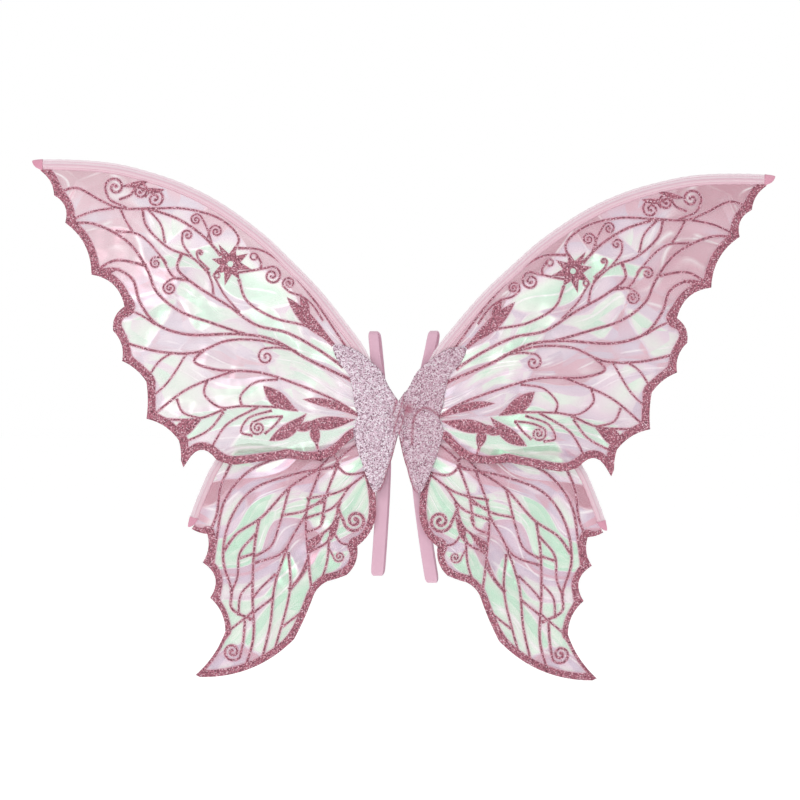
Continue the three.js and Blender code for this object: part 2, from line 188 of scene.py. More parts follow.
# Veins, as (width, points along a smooth line). Each is broader near its ends.
VEINS = {
    "forewing": [
        (2.6, [(407, 268), (386, 274), (356, 259), (335, 250), (297, 249)]),
        (2.2, [(394, 234), (368, 245), (340, 250)]),
        (2.8, [(396, 231), (365, 231), (322, 208), (300, 176), (289, 150), (262, 127), (222, 112),
               (184, 99)]),
        (2.2, [(338, 222), (310, 218), (284, 192), (268, 167), (250, 163)]),
        (2.0, [(332, 248), (326, 235), (318, 222)]),
        (2.4, [(306, 249), (302, 230), (276, 203), (246, 190), (226, 171)]),
        (2.0, [(299, 248), (284, 230), (279, 208)]),
        (2.4, [(297, 249), (255, 249), (212, 236), (191, 214), (198, 195)]),
        (2.8, [(297, 249), (262, 236), (233, 216), (212, 193)]),
        (2.8, [(259, 195), (264, 178), (243, 158), (205, 134), (170, 110), (134, 101), (98, 82), (66, 60)]),
        (2.8, [(364, 173), (338, 187), (301, 181)]),
        (3.0, [(366, 172), (340, 177), (318, 165), (309, 138), (290, 112), (255, 99), (190, 99), (152, 93),
               (108, 69), (56, 44)]),
        (2.2, [(330, 130), (312, 124), (290, 111)]),
        (2.6, [(331, 90), (285, 78), (242, 77), (205, 91), (169, 92), (136, 85)]),
        (2.6, [(232, 80), (244, 67), (220, 57), (165, 53), (113, 36), (70, 17), (48, 2)]),
        (2.4, [(296, 0), (253, 33), (197, 55)]),
        (2.0, [(265, 22), (258, 6), (236, -2)]),
        (2.2, [(229, 43), (232, 28), (214, 12), (187, 13), (144, 12)]),
        (2.0, [(144, 45), (172, 41), (189, 24), (187, 13)]),
        (2.0, [(301, 45), (285, 67), (270, 77)]),
        (2.0, [(300, 20), (277, 40), (252, 77)]),
        (2.4, [(298, -2), (240, -2), (206, 10)]),
        (2.2, [(260, -32), (226, -15), (209, 6)]),
        (2.2, [(224, -38), (206, -10), (168, 12)]),
        (2.0, [(151, 8), (180, -2), (188, -18), (174, -22)]),
        (2.0, [(139, 1), (149, -11), (160, -20)]),
        (2.0, [(98, -31), (95, -41), (88, -49)]),
        (2.4, [(191, 165), (182, 140), (150, 119), (106, 107), (78, 86)]),
        (2.0, [(221, 170), (208, 146), (190, 125)]),
        (2.0, [(230, 178), (223, 161), (221, 146)]),
        (2.2, [(192, 202), (166, 200), (140, 184), (105, 145), (58, 77)]),
        (2.0, [(170, 194), (164, 184), (165, 177)]),
    ],
    "hindwing": [
        (2.6, [(199, -52), (213, -84), (218, -118), (227, -140)]),
        (2.6, [(90, -52), (130, -47), (178, -64), (208, -100), (218, -147), (224, -190)]),
        (2.6, [(78, -60), (127, -69), (176, -88), (202, -124), (210, -170), (200, -208), (200, -229),
               (176, -243)]),
        (2.6, [(99, -64), (130, -84), (165, -121), (194, -140), (209, -160)]),
        (2.2, [(131, -86), (143, -130), (153, -155), (172, -167)]),
        (2.2, [(141, -118), (112, -112), (82, -92)]),
        (2.6, [(167, -122), (173, -160), (175, -212), (174, -265), (184, -302)]),
        (2.2, [(171, -140), (190, -163), (193, -192), (201, -211)]),
        (2.0, [(190, -169), (174, -164)]),
        (2.2, [(172, -175), (140, -163), (124, -138), (111, -117)]),
        (2.4, [(133, -155), (148, -200), (154, -250), (165, -295)]),
        (2.2, [(132, -162), (130, -206), (150, -285)]),
        (2.0, [(147, -188), (163, -203), (175, -217)]),
        (2.0, [(151, -217), (173, -234)]),
        (2.0, [(174, -233), (208, -260)]),
        (2.0, [(174, -196), (189, -213), (192, -238)]),
        (2.0, [(130, -207), (117, -192), (109, -178)]),
        (2.0, [(139, -251), (115, -233)]),
        (2.2, [(80, -134), (68, -151), (47, -152)]),
        (2.2, [(36, -66), (70, -89), (110, -98)]),
        (2.2, [(76, -56), (62, -68), (38, -66)]),
        (2.4, [(72, -55), (86, -92), (92, -127)]),
        (2.4, [(94, -64), (110, -112), (108, -170), (104, -208)]),
        (2.2, [(58, -82), (78, -108), (110, -121)]),
        (2.0, [(88, -101), (110, -109)]),
        (2.4, [(70, -101), (80, -130), (109, -150)]),
        (2.0, [(89, -118), (94, -131), (110, -138)]),
        (2.4, [(79, -130), (85, -149), (108, -162)]),
        (2.2, [(83, -144), (86, -175), (96, -204)]),
        (2.0, [(108, -168), (119, -192), (132, -207)]),
        (2.2, [(50, -20), (78, -44), (97, -63)]),
        (2.2, [(44, -28), (70, -49), (77, -60)]),
        (2.0, [(78, -44), (72, -52)]),
    ],
}
VEIN_MIDDLE = 0.94
VEIN_FLARE = 0.6
FLARE_LENGTH = 4.5

# Curls, as (width, stem, centre of the spiral, turns). The spiral begins at the stem's last point.
CURLS = {
    "forewing": [
        (2.0, [(222, 203), (229, 226), (236, 240)], (242, 236), 1.5),
        (2.0, [(228, 214), (225, 225)], (218, 222), 1.5),
        (2.0, [(246, 190), (258, 208), (258, 220)], (252, 217), 1.1),
        (2.0, [(226, 176), (239, 189), (241, 195)], (237, 196), 1.0),
        (2.0, [(277, 183), (282, 190), (288, 191)], (290, 184), 1.4),
        (2.0, [(252, 165), (270, 165), (280, 158)], (273, 154), 1.6),
        (2.2, [(196, 172), (170, 176), (150, 180)], (151, 169), 1.6),
        (2.0, [(90, 115), (103, 134), (115, 144), (131, 150), (138, 157)], (131, 160), 1.6),
        (2.4, [(325, 250), (346, 261), (351, 274)], (339, 275), 1.4),
        (2.4, [(334, 260), (320, 266), (313, 279)], (309, 270), 1.6),
        (2.4, [(303, 263), (298, 270)], (291, 261), 1.6),
        (2.0, [(138, 1), (160, -1), (174, -6)], (168, -13), 1.7),
        (2.0, [(122, 79), (144, 83), (160, 82)], (158, 72), 1.3),
    ],
    "hindwing": [
        (2.4, [(184, -243), (186, -268), (190, -288)], (199, -281), 1.6),
        (3.0, [(73, -107), (70, -116), (66, -124)], (52, -124), 1.7),
        (1.6, [(83, -158), (78, -167)], (71, -167), 1.5),
    ],
}
CURL_CORE = 0.14
CURL_END = 0.8
CURL_STEPS = 14

# Leaves, as (base, tip, width, bow of the middle to the left of travel).
LEAVES = {
    "forewing": [
        ((120, 7), (161, 37), 17, -3), ((110, 4), (154, -28), 15, -3), ((50, 1.5), (114, 21), 9, 4),
        ((52, -3), (112, -9), 15, -1), ((99, -4), (97, -33), 11, 2), ((96, -5), (121, -16), 10, 0),
        ((76, 87), (133, 143), 14, -2), ((107, 112), (117, 147), 9, 1), ((236, -4), (268, -24), 17, 3),
        ((333, 178), (372, 170), 9, -1), ((331, 276), (299, 282), 6, 1), ((312, 275), (280, 272), 6, 3),
    ],
    "hindwing": [((70, -118), (81, -148), 8, 2), ((87, -136), (109, -161), 8, 1)],
}
LEAF_POINTS = 12
LEAF_FULLNESS = 1.2
LEAF_RIM = 0.5

# A star flower: the radii of its tips, valleys and pale centre, how far it is turned, and how uneven it is
# as (share, waves). Then small rings, as (centre, radius).
FLOWER_CENTRE = (201, 183)
FLOWER_PETALS = 8
FLOWER_RADII = (24, 11.5, 3.6)
FLOWER_TURN = 0.25
FLOWER_UNEVEN = (0.12, 3)
RINGS = {"forewing": [((173, 192), 4), ((217, 169), 3)], "hindwing": []}
RING_WIDTH = 1.6

# How the cloth stands forward: evenly, more outwards, in radial folds (depth, how many to a full turn, phase)
# and in bumps (depth, wavelength, seed). It hangs free at SLACK_REACH from the spar.
BILLOW = {
    "forewing": {"even": -3.0, "outer": -1.4, "folds": (1.5, 11, 0.8), "bumps": (0.7, 120, 3)},
    "hindwing": {"even": 0, "outer": 0.6, "folds": (1.3, 13, 0.4), "bumps": (0.6, 90, 5)},
}
BILLOW_REACH = 260
SLACK_REACH = 90
SPAR_SAMPLES = 60
RIPPLE_SPREAD = (0.7, 1.4)
RIPPLE_WAVES = 9

# The pearl film: how deep it creases, the length and width of its folds, and the point they fan out from,
# with the distance from it at which they have that width.
FILM_STEP = 3.6
FILM_CREASE = 3.0
FOLD_LENGTH = 74
FOLD_WIDTH = {"forewing": 27, "hindwing": 22}
FOLD_CENTRE = {"forewing": (0, 0), "hindwing": (-150, 60)}
FOLD_REACH = {"forewing": 190, "hindwing": 320}
FILM_SEED = {"forewing": 11, "hindwing": 23}

# How far folds drift along and across, and over what wavelength, then the same for the crinkles, which are
# folds of several (wavelength, weight).
FOLD_DRIFT = ((17, 130), (8, 95))
CRUMPLE_DRIFT = (7, 130)
CRUMPLE_FOLDS = ((78, 1.0), (55, 0.8), (41, 0.6), (29, 0.35), (19, 0.22), (13, 0.12))

# How much rosier (or mintier, below zero) and how much denser each wing's film looks.
FILM_ROSE = {
    "left": {"forewing": -0.17, "hindwing": -0.11},
    "right": {"forewing": -0.10, "hindwing": -0.12},
}
FILM_WEIGHT = {
    "left": {"forewing": 0.04, "hindwing": 0.30},
    "right": {"forewing": 0.20, "hindwing": 0.31},
}
ROOT_ROSE = 0.34
TIP_ROSE = {"forewing": 0.22, "hindwing": -0.12}
TIP_REACH = (270, 400)

# Root cover, backing pad and neck.
COVER = [
    (12.5, 38.5), (20, 54), (34, 67.5), (50, 79.5), (68, 86), (78, 84), (72, 66), (60, 52), (56, 38),
    (52, 12),
    (48.5, 2), (54, -14), (49, -38), (42, -60), (34.5, -80), (28, -90), (22, -88), (14, -69), (12.5, -63),
]
LOBE_EDGE = [(17, -32), (17.5, -10), (20, 3), (26, 9.5), (33, 11.5), (42, 8), (51, 0)]
LOBE_REST = [(60, -14), (52, -40), (44, -62), (28, -92), (18, -70)]
COVER_INNER = {"bottom": [(8, -50), (0.4, -20.5)], "top": [(0.4, 19.2), (8, 31)]}
BACKING = [
    (12.5, 34), (20, 50), (34, 62), (46, 68), (52, 50), (47, 10), (50, -15), (44, -40), (36, -62), (26, -80),
    (15, -62), (12.5, -55),
]
NECK_TOP = [(-6.5, 28.8), (0, 19.2), (6.5, 28.8)]
NECK_BOTTOM = [(6.5, -44.5), (0, -20.5), (-6.5, -44.5)]
NECK_PAD = [(-8, -50), (0, -20.5), (8, -50), (8, 31), (0, 19.2), (-8, 31)]

# Cover: depths of its front, its rounded rim, its gathers and its ripples (wavelength, seed), where its
# gathers start, and how many there are to a full turn.
COVER_FRONT = -12.1
COVER_THICKNESS = 0.8
COVER_ROUND = 1.1
COVER_ROUND_REACH = 4.5
COVER_RIPPLE = 0.25
COVER_RIPPLES = (26, 31)
GATHER_DEPTH = 0.8
GATHER_START = 6
GATHER_REACH = 20
GATHER_COUNT = 10
GATHER_PHASE = 0.6

# Painted shade, mixed in as a deeper rose: over a whole side, near the neck, on the gathers, at the tuck, and
# along the hem turned under below and near the neck.
COVER_SHADE = {"left": 0, "right": 0.24}
NECK_SHADE = 0.5
NECK_SHADE_REACH = 7
GATHER_SHADE = 0.4
GATHER_LEVEL = 0.1
TUCK = (11, 10)
TUCK_REACH = 6
TUCK_SHADE = 0.9
HEM = 2.6
HEM_FADE = 1.8
HEM_TOP = -24
HEM_SIDE = 27

# The lobe that lies over the rest of the right cover: its rise, its lip and the dip beside it, and the
# painted shade along its edge.
LOBE_RISE = 1.3
LOBE_LIP = 2.2
LOBE_REACH = 14
LOBE_DIP = 0.5
LOBE_DIP_REACH = 2.0
LOBE_STEP = 2.0
LOBE_LINE = 1.3
LOBE_SHADE = 1.1

# Neck fabric: pinched at its waist, in pleats (rate along u, rate along z, phase) that fade away from it.
NECK_FRONT = -13.5
NECK_THICKNESS = 0.7
NECK_PINCH = 0.7
NECK_PINCH_REACH = 16
NECK_SIDES = 0.6
NECK_HALF_WIDTH = 8
# The neck fabric's painted shade: how much it has everywhere, before its pleats add more.
NECK_SHADE_LEAST = 0.25
PLEAT_WAVE = (0.85, -0.26, 0.6)
PLEAT_DEPTH = 0.75
PLEAT_FADE = 0.7
NECK_STEP = 2.0
NECK_GRID = 1.5

# Neck roll: pleated, with a bound waist and rounded ends.
ROLL_RINGS = 25
ROLL_SIDES = 48
ROLL_PLEATS = 9
ROLL_PLEAT = 0.06
ROLL_WAIST = 0.14
ROLL_WAIST_REACH = 0.18
ROLL_END = 0.25
ROLL_END_POWER = 8

# Felt pads: how soft their edges are, and the groove of their seam.
PAD_STEP = 3.0
PAD_GRID = 2.6
FELT_SOFTNESS = 0.9
FELT_EDGE = 1.3
FELT_SEAM = 4
SEAM_GROOVE = 0.45
SEAM_WIDTH = 0.9
SEAM_SINK = 0.35
LEAST_MARGIN = 0.9

# Shoulder loops of elastic. A loop's line is nearest the middle at its waist (u, z), and leans outwards
# above and below it. Its rear run stands aside. Round an end it passes (depth, distance from the end).
STRAP_WIDTH = 15
STRAP_THICKNESS = 1.4
STRAP_LEAN_POWER = 1.35
STRAPS = {
    "left": {"waist": (18.5, -60), "lean": (12.4, 7.5), "top": 102.8, "bottom": -190.8, "aside": -2.0},
    "right": {"waist": (20.5, -40), "lean": (21.5, 19.5), "top": 103.3, "bottom": -199.3, "aside": 1.8},
}
STRAP_END_PATH = [(1, 10), (3.5, 2.5), (10, 0), (16.5, 3.5), (21, 20), (26, 60)]
STRAP_FRONT_HEIGHTS = (-130, -44, 40)
STRAP_BOW = 28
STRAP_STEP = 2.5
STRAP_REAR = 20
STRAP_EDGE = 0.5
STRAP_CORDS = 25
RIB_DEPTH = 0.16

# A loop narrows round its ends, and its front run is drawn in a little above DRAWN_FROM.
STRAP_END_DRAWN = 0.3
STRAP_END_REACH = 2.2
STRAP_DRAWN = 0.2
DRAWN_FROM = 40
DRAWN_OVER = 45
DRAWN_DEPTH = 16

# Rows of stitches across a loop: heights on the front run, heights about the middle of the rear run, how far
# a row reaches to each side and how far it stands out.
FRONT_SEAMS = (32, 26, -44, -50)
REAR_SEAMS = (-12, -8, 8, 12)
SEAM_REACH = 6
SEAM_LIFT = 0.75

# Cord wound round the root binding. Its path is a circle squared off by CORD_SQUARE.
CORD_RADIUS = 0.48
CORD_TURNS = 7
CORD_STEPS = 32
CORD_SIDES = 7
CORD_SQUARE = 0.75
CORD_LIFT = 0.2
CORD_ROOM = (0.3, 1)


# ---------------------------------------------------------------- lines and shapes in a half's own frame

def unit(vectors):
    """The given vectors, each made one long."""
    return vectors / np.maximum(np.linalg.norm(vectors, axis=-1, keepdims=True), TINY)


def left_of(vectors):
    """The given (u, z) vectors, each turned a quarter to the left."""
    return np.stack([-vectors[..., 1], vectors[..., 0]], axis=-1)


def spokes(count):
    """That many angles, evenly round a full turn."""
    return np.arange(count) * 2 * math.pi / count


def headings(angles):
    """(u, z) vectors one long at the given angles."""
    return np.stack([np.cos(angles), np.sin(angles)], axis=1)


def polar(points, centre=(0, 0)):
    """The distance and the angle of each point about a centre."""
    arm = points - np.array(centre)
    return np.hypot(arm[:, 0], arm[:, 1]), np.arctan2(arm[:, 1], arm[:, 0])


def run_along(points):
    """How far along its polyline each point lies."""
    return np.concatenate([[0], np.cumsum(np.linalg.norm(np.diff(points, axis=0), axis=1))])


def ease(value):
    """0 below 0, 1 above 1, and a smooth step between them."""
    value = np.clip(value, 0, 1)
    return value * value * (3 - 2 * value)


def bell(distance, width):
    """1 at no distance, and nearly nothing beyond two widths."""
    return np.exp(-(distance / width) ** 2)


def arch(share):
    """0 at both ends and 1 in the middle."""
    return 4 * share * (1 - share)


def between(first, second, start, end, time):
    """Where something is that passes the first place at the start and the second at the end."""
    return first * (end - time) / (end - start) + second * (time - start) / (end - start)


def smooth_line(points, step=LINE_STEP, closed=False):
    """Points of a centripetal Catmull-Rom line, about step apart."""
    knots = np.asarray(points, float)
    if len(knots) == 2:
        count = max(2, int(np.linalg.norm(knots[1] - knots[0]) / step) + 1)
        return np.linspace(knots[0], knots[1], count)
    if closed:
        knots = np.vstack([knots[-1], knots, knots[:2]])
    else:
        knots = np.vstack([2 * knots[0] - knots[1], knots, 2 * knots[-1] - knots[-2]])
    gaps = np.sqrt(np.linalg.norm(np.diff(knots, axis=0), axis=1))
    times = np.concatenate([[0], np.cumsum(gaps)])
    line = []
    for k in range(1, len(knots) - 2):
        p0, p1, p2, p3 = knots[k - 1:k + 3]
        t0, t1, t2, t3 = times[k - 1:k + 3]
        count = max(1, int(round(np.linalg.norm(p2 - p1) / step)))
        for t in t1 + (t2 - t1) * np.arange(count) / count:
            middle = between(p1, p2, t1, t2, t)
            before = between(between(p0, p1, t0, t1, t), middle, t0, t2, t)
            after = between(middle, between(p2, p3, t2, t3, t), t1, t3, t)
            line.append(between(before, after, t1, t2, t))
    if not closed:
        line.append(knots[-2])
    return np.array(line)


class Line:
    """A smooth line that can be read at any distance along it."""

    def __init__(self, points):
        self.points = smooth_line(points, FINE_STEP)
        self.distances = run_along(self.points)
        self.length = self.distances[-1]

    def at(self, distance):
        return np.stack([np.interp(distance, self.distances, column) for column in self.points.T], axis=-1)

    def tangent(self, distance):
        distance = np.asarray(distance)
        return unit(self.at(distance + TANGENT_REACH) - self.at(distance - TANGENT_REACH))

    def beside(self, distances, across):
        """Points beside the line; across is measured to the right of travel."""
        distances, across = np.broadcast_arrays(distances, across)
        return self.at(distances) - left_of(self.tangent(distances)) * across[..., None]


def edge_points(kind):
    """Points along a wing's scalloped edge, and the width of the glitter border at each."""
    points = [np.array(EDGE_START[kind], float)]
    widths = []
    joints = []
    for leg, (u, z, bow) in enumerate(EDGES[kind]):
        origin = points[-1]
        step = np.array([u, z]) - origin
        outwards = left_of(unit(step))
        count = max(1, int(round(np.linalg.norm(step) / EDGE_STEP)))
        for t in np.arange(1, count + 1) / count:
            points.append(origin + step * t + outwards * bow * arch(t))
        widths += [BORDER_WIDTH[kind] * NARROW_LEGS[kind].get(leg, 1)] * count
        joints.append(len(points) - 1)
    points = np.array(points)
    widths = np.pad(widths, (2, 1), "edge")
    ways = unit(np.diff(points, axis=0))
    near_cusp = np.zeros(len(points))
    for joint in joints[:-1]:
        turn = math.acos(np.clip(ways[joint - 1] @ ways[joint], -1, 1))
        gap = np.linalg.norm(points - points[joint], axis=1)
        near_cusp = np.maximum(near_cusp, min(1, turn / CUSP_TURN) * bell(gap, CUSP_REACH))
    return points, np.convolve(widths, SOFTENING, "valid") + CUSP_EXTRA * near_cusp


def wing_outline(kind):
    """A wing's outline, its free edge alone, and the width of the glitter border along that edge."""
    line = Line(SPARS[kind])
    end = line.length - TAB_LENGTH
    distances = np.linspace(SHEET_START, end, int(end / GRID_STEP))
    leading = line.beside(distances, CASING_WIDTH[kind] / 2 - SEAM_ALLOWANCE)
    edge, widths = edge_points(kind)
    return np.vstack([leading, edge]), edge, widths


def disc(centre, radius, sides=DISC_SIDES):
    return np.array(centre) + radius * headings(spokes(sides))


def stroke_quads(points, width):
    """The quads of a ribbon along the points; width is one number or one for each point."""
    half = (np.broadcast_to(width, len(points)) / 2)[:, None]
    left = left_of(unit(np.gradient(points, axis=0))) * half
    low, high = points - left, points + left
    return [np.array([low[k], low[k + 1], high[k + 1], high[k]]) for k in range(len(points) - 1)]


def curl_points(stem, centre, turns):
    """A stem that runs into a spiral, winding the way the stem arrives."""
    stem = np.array(stem, float)
    arm = stem[-1] - np.array(centre, float)
    travel = stem[-1] - stem[-2]
    sense = 1 if arm[0] * travel[1] - arm[1] * travel[0] > 0 else -1
    start = math.atan2(arm[1], arm[0])
    share = np.linspace(0, 1, int(turns * CURL_STEPS) + 1)[1:]
    radii = np.linalg.norm(arm) * (1 - (1 - CURL_CORE) * share)
    spiral = np.array(centre) + radii[:, None] * headings(start + sense * 2 * math.pi * turns * share)
    return np.vstack([smooth_line(stem), spiral])


def flower():
    """A star of pointed petals, a little uneven, for the pale centre to sit in."""
    tip, valley, _ = FLOWER_RADII
    uneven, times = FLOWER_UNEVEN
    corners = np.arange(2 * FLOWER_PETALS)
    angles = corners * math.pi / FLOWER_PETALS + FLOWER_TURN
    radii = np.where(corners % 2, valley, tip * (1 - uneven * np.cos(angles * times)))
    return np.array(FLOWER_CENTRE) + radii[:, None] * headings(angles)


def leaf(base, tip, width, bow):
    """A pointed leaf from its base to its tip, widest a little past its middle."""
    share = np.linspace(0, 1, LEAF_POINTS)[:, None]
    along = np.subtract(tip, base)
    left = left_of(unit(along))
    spine = np.array(base) + share * along + bow * arch(share) * left
    half = width / 2 * np.sin(math.pi * share ** LEAF_FULLNESS) * left
    return np.vstack([spine + half, (spine - half)[-2:0:-1]])


def vein_widths(points, width, grow):
    """A vein's width at each of its points: broader near its two ends."""
    run = run_along(points)
    from_end = np.minimum(run, run[-1] - run)
    return width * (VEIN_MIDDLE + VEIN_FLARE * np.exp(-from_end / FLARE_LENGTH)) + 2 * grow


def print_shapes(kind, grow):
    """Every polygon of a wing's print, each grown by a margin all round."""
    shapes = []
    for width, knots in VEINS[kind]:
        points = smooth_line(knots)
        shapes += stroke_quads(points, vein_widths(points, width, grow))
    for width, stem, centre, turns in CURLS[kind]:
        points = curl_points(stem, centre, turns)
        shapes += stroke_quads(points, width + 2 * grow)
        shapes.append(disc(points[-1], width * CURL_END + grow))
    for centre, radius in RINGS[kind]:
        ring = disc(centre, radius)
        shapes += stroke_quads(np.vstack([ring, ring[:2]]), RING_WIDTH + 2 * grow)
    outlines = [leaf(*sizes) for sizes in LEAVES[kind]]
    if kind == "forewing":
        outlines.append(flower())
    for outline in outlines:
        shapes.append(outline)
        shapes += stroke_quads(np.vstack([outline, outline[:2]]), LEAF_RIM + 2 * grow)
    return shapes


def border_shapes(kind, grow):
    """The band of glitter along the free edge, wider at the cusps."""
    _, edge, widths = wing_outline(kind)
    widths = widths + grow
    inwards = -left_of(unit(np.diff(edge, axis=0)))
    shapes = [
        np.array([a, b, b + inward * wide_b, a + inward * wide_a])
        for a, b, inward, wide_a, wide_b in zip(edge[:-1], edge[1:], inwards, widths[:-1], widths[1:])
    ]
    return shapes + [disc(point, width, BORDER_SIDES) for point, width in zip(edge, widths)]


def hex_grid(outline, step):
    """Points of a triangular grid over an outline's box."""
    low, high = outline.min(0), outline.max(0)
    rows = np.arange(low[1], high[1], step * math.sqrt(3) / 2)
    return np.array([
        (u, z)
        for k, z in enumerate(rows)
        for u in np.arange(low[0] + (k % 2) * step / 2, high[0], step)
    ])


def twice_area(polygon):
    """Twice a polygon's area, positive where it runs anticlockwise."""
    u, z = polygon[:, 0], polygon[:, 1]
    return np.sum(u * np.roll(z, -1) - z * np.roll(u, -1))


def inside_of(points, polygon):
    """Which points lie in a polygon, by the even-odd rule."""
    low, high = polygon.min(0), polygon.max(0)
    near = np.flatnonzero(np.all((points >= low) & (points <= high), axis=1))
    u, z = points[near, 0], points[near, 1]
    odd = np.zeros(len(near), bool)
    for (au, az), (bu, bz) in zip(polygon, np.roll(polygon, -1, axis=0)):
        if az != bz:
            odd ^= ((az > z) != (bz > z)) & (u < au + (bu - au) * (z - az) / (bz - az))
    return near[odd]


def triangulate(outline, step, groups=()):
    """Triangles that fill an outline and follow every polygon of the groups.

    Returns the points, the triangles, and for each group which triangles lie in it."""
    polygons = [outline] + [polygon for group in groups for polygon in group]
    points = [tuple(p) for polygon in polygons for p in polygon]
    edges = []
    first = 0
    for polygon in polygons:
        count = len(polygon)
        edges += [(first + k, first + (k + 1) % count) for k in range(count)]
        first += count
    points += [tuple(p) for p in hex_grid(outline, step)]
    made = delaunay_2d_cdt([Vector(p) for p in points], edges, [], 0, MERGE_GAP, False)
    flat = np.array([tuple(v) for v in made[0]])
    triangles = np.array(made[2])
    middles = flat[triangles].mean(axis=1)
    kept = np.sort(inside_of(middles, outline))
    middles = middles[kept]
    flat, triangles, _ = used_only(flat, triangles[kept])
    members = []
    for group in groups:
        held = [inside_of(middles, polygon) for polygon in group]
        members.append(np.unique(np.concatenate(held)) if held else np.array([], int))
    return flat, triangles, members


def distance_to(points, line):
    """Distance from each point to a polyline."""
    best = np.full(len(points), np.inf)
    for a, b in zip(line[:-1], line[1:]):
        step = b - a
        share = np.clip(((points - a) @ step) / max(step @ step, TINY), 0, 1)
        best = np.minimum(best, np.linalg.norm(points - a - share[:, None] * step, axis=1))
    return best


def ripples(points, wavelength, seed):
    """A smooth random field of about -1 to 1 with bumps of about the wavelength."""
    rng = np.random.default_rng(seed)
    total = np.zeros(len(points))
    for _ in range(RIPPLE_WAVES):
        angle, phase = rng.uniform(0, 2 * math.pi, 2)
        wave = 2 * math.pi / (wavelength * rng.uniform(*RIPPLE_SPREAD))
        total += np.cos((points[:, 0] * math.cos(angle) + points[:, 1] * math.sin(angle)) * wave + phase)
    return total / math.sqrt(RIPPLE_WAVES)


def slack(kind, points):
    """How free the cloth is, from 0 at the spar to 1 well away from it."""
    line = Line(SPARS[kind])
    spar = line.at(np.linspace(0, line.length, SPAR_SAMPLES))
    return ease(distance_to(points, spar) / SLACK_REACH)


def billow(kind, points):
    """How far a wing's cloth stands forward (negative) of its flat place, in millimetres."""
    look = BILLOW[kind]
    reach, angle = polar(points)
    fold_depth, fold_count, phase = look["folds"]
    bump_depth, wavelength, seed = look["bumps"]
    folds = fold_depth * np.sin(angle * fold_count + phase) + bump_depth * ripples(points, wavelength, seed)
    return slack(kind, points) * (look["even"] + (look["outer"] + folds) * ease(reach / BILLOW_REACH))


def fold_frame(kind, points):
    """Places along and across the film's folds, counted in folds."""
    reach, angle = polar(points, FOLD_CENTRE[kind])
    seed = FILM_SEED[kind]
    drift_along, drift_across = (
        drift * ripples(points, wavelength, seed + k) for k, (drift, wavelength) in enumerate(FOLD_DRIFT)
    )
    along = (reach + drift_along) / FOLD_LENGTH
    across = (angle * FOLD_REACH[kind] + drift_across) / FOLD_WIDTH[kind]
    return along, across


def crumple(points, seed):
    """Depth of a crinkled film, from sharp folds in a few directions, 0 to about 1."""
    rng = np.random.default_rng(seed)
    drift, drift_wavelength = CRUMPLE_DRIFT
    bent = points + drift * np.stack([ripples(points, drift_wavelength, seed + k) for k in (1, 2)], axis=1)
    total = np.zeros(len(points))
    for wavelength, weight in CRUMPLE_FOLDS:
        angle, phase = rng.uniform(0, math.pi), rng.uniform(0, 1)
        turn = (bent[:, 0] * math.cos(angle) + bent[:, 1] * math.sin(angle)) / wavelength + phase
        total += weight * np.abs(2 * (turn % 1) - 1)
    return total / sum(weight for _, weight in CRUMPLE_FOLDS)


# ---------------------------------------------------------------- meshes in the row frame

def upright(flat, depth):
    """(u, y, z) points from flat (u, z) ones and their depth."""
    return np.stack([flat[:, 0], np.broadcast_to(depth, len(flat)), flat[:, 1]], axis=1)


def place(side, part, points):
    """(u, y, z) in millimetres in a half's own frame, as metres in the row frame."""
    angle = math.radians(TILT[side][part])
    cos, sin = math.cos(angle), math.sin(angle)
    x = SIGN[side] * points[:, 0]
    z = points[:, 2]
    return np.stack([x * cos + z * sin, points[:, 1], z * cos - x * sin], axis=1) * MM


def make_object(name, points, faces, finish, flip=False, smooth=True, attributes=None):
    """A mesh object; attributes are numbers for each point."""
    mesh = bpy.data.meshes.new(name)
    faces = [list(reversed(face)) if flip else list(face) for face in faces]
    mesh.from_pydata([tuple(map(float, p)) for p in points], [], [tuple(map(int, f)) for f in faces])
    for key, values in (attributes or {}).items():
        mesh.attributes.new(key, "FLOAT", "POINT").data.foreach_set("value", np.asarray(values, np.float32))
    mesh.materials.append(MATERIALS[finish])
    mesh.polygons.foreach_set("use_smooth", [smooth] * len(mesh.polygons))
    mesh.update()
    made = bpy.data.objects.new(name, mesh)
    bpy.context.scene.collection.objects.link(made)
    return made


def add_piece(name, side, part, shape, finish, slot, replaces=(), **more):
    """A piece made of (u, y, z) points and faces, hiding the CAD nodes it replaces; its slot is not used."""
    points, faces = shape
    piece = make_object(name, place(side, part, points), faces, finish, flip=side == "left", **more)
    if replaces:
        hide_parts(*replaces)
    return piece


def used_only(points, faces):
    """Drops the points that no face uses. Returns points, faces and the kept indices."""
    keep, faces = np.unique(faces, return_inverse=True)
    return points[keep], faces.reshape(-1, 3), keep


def rim_edges(triangles):
    """The directed edges with a face on one side only."""
    edges = {(a, b) for t in triangles for a, b in zip(t, np.roll(t, -1))}
    return [(a, b) for a, b in edges if (b, a) not in edges]


def slab(flat, triangles, front, back, closed=True):
    """(u, y, z) points and faces of a sheet between a front and a back depth."""
    count = len(flat)
    faces = [tuple(t) for t in triangles]
    if closed:
        faces += [tuple(reversed([i + count for i in t])) for t in triangles]
    faces += [(a + count, b + count, b, a) for a, b in rim_edges(triangles)]
    return np.vstack([upright(flat, front), upright(flat, back)]), faces


def tube(rings, closed=False):
    """Points and faces of a tube through rings of points."""
    count, sides = len(rings), len(rings[0])
    faces = []
    for k in range(count if closed else count - 1):
        here, there = k * sides, ((k + 1) % count) * sides
        for i in range(sides):
            j = (i + 1) % sides
            faces.append((here + i, here + j, there + j, there + i))
    if not closed:
        faces.append(tuple(reversed(range(sides))))
        faces.append(tuple(range((count - 1) * sides, count * sides)))
    return np.concatenate(rings), faces


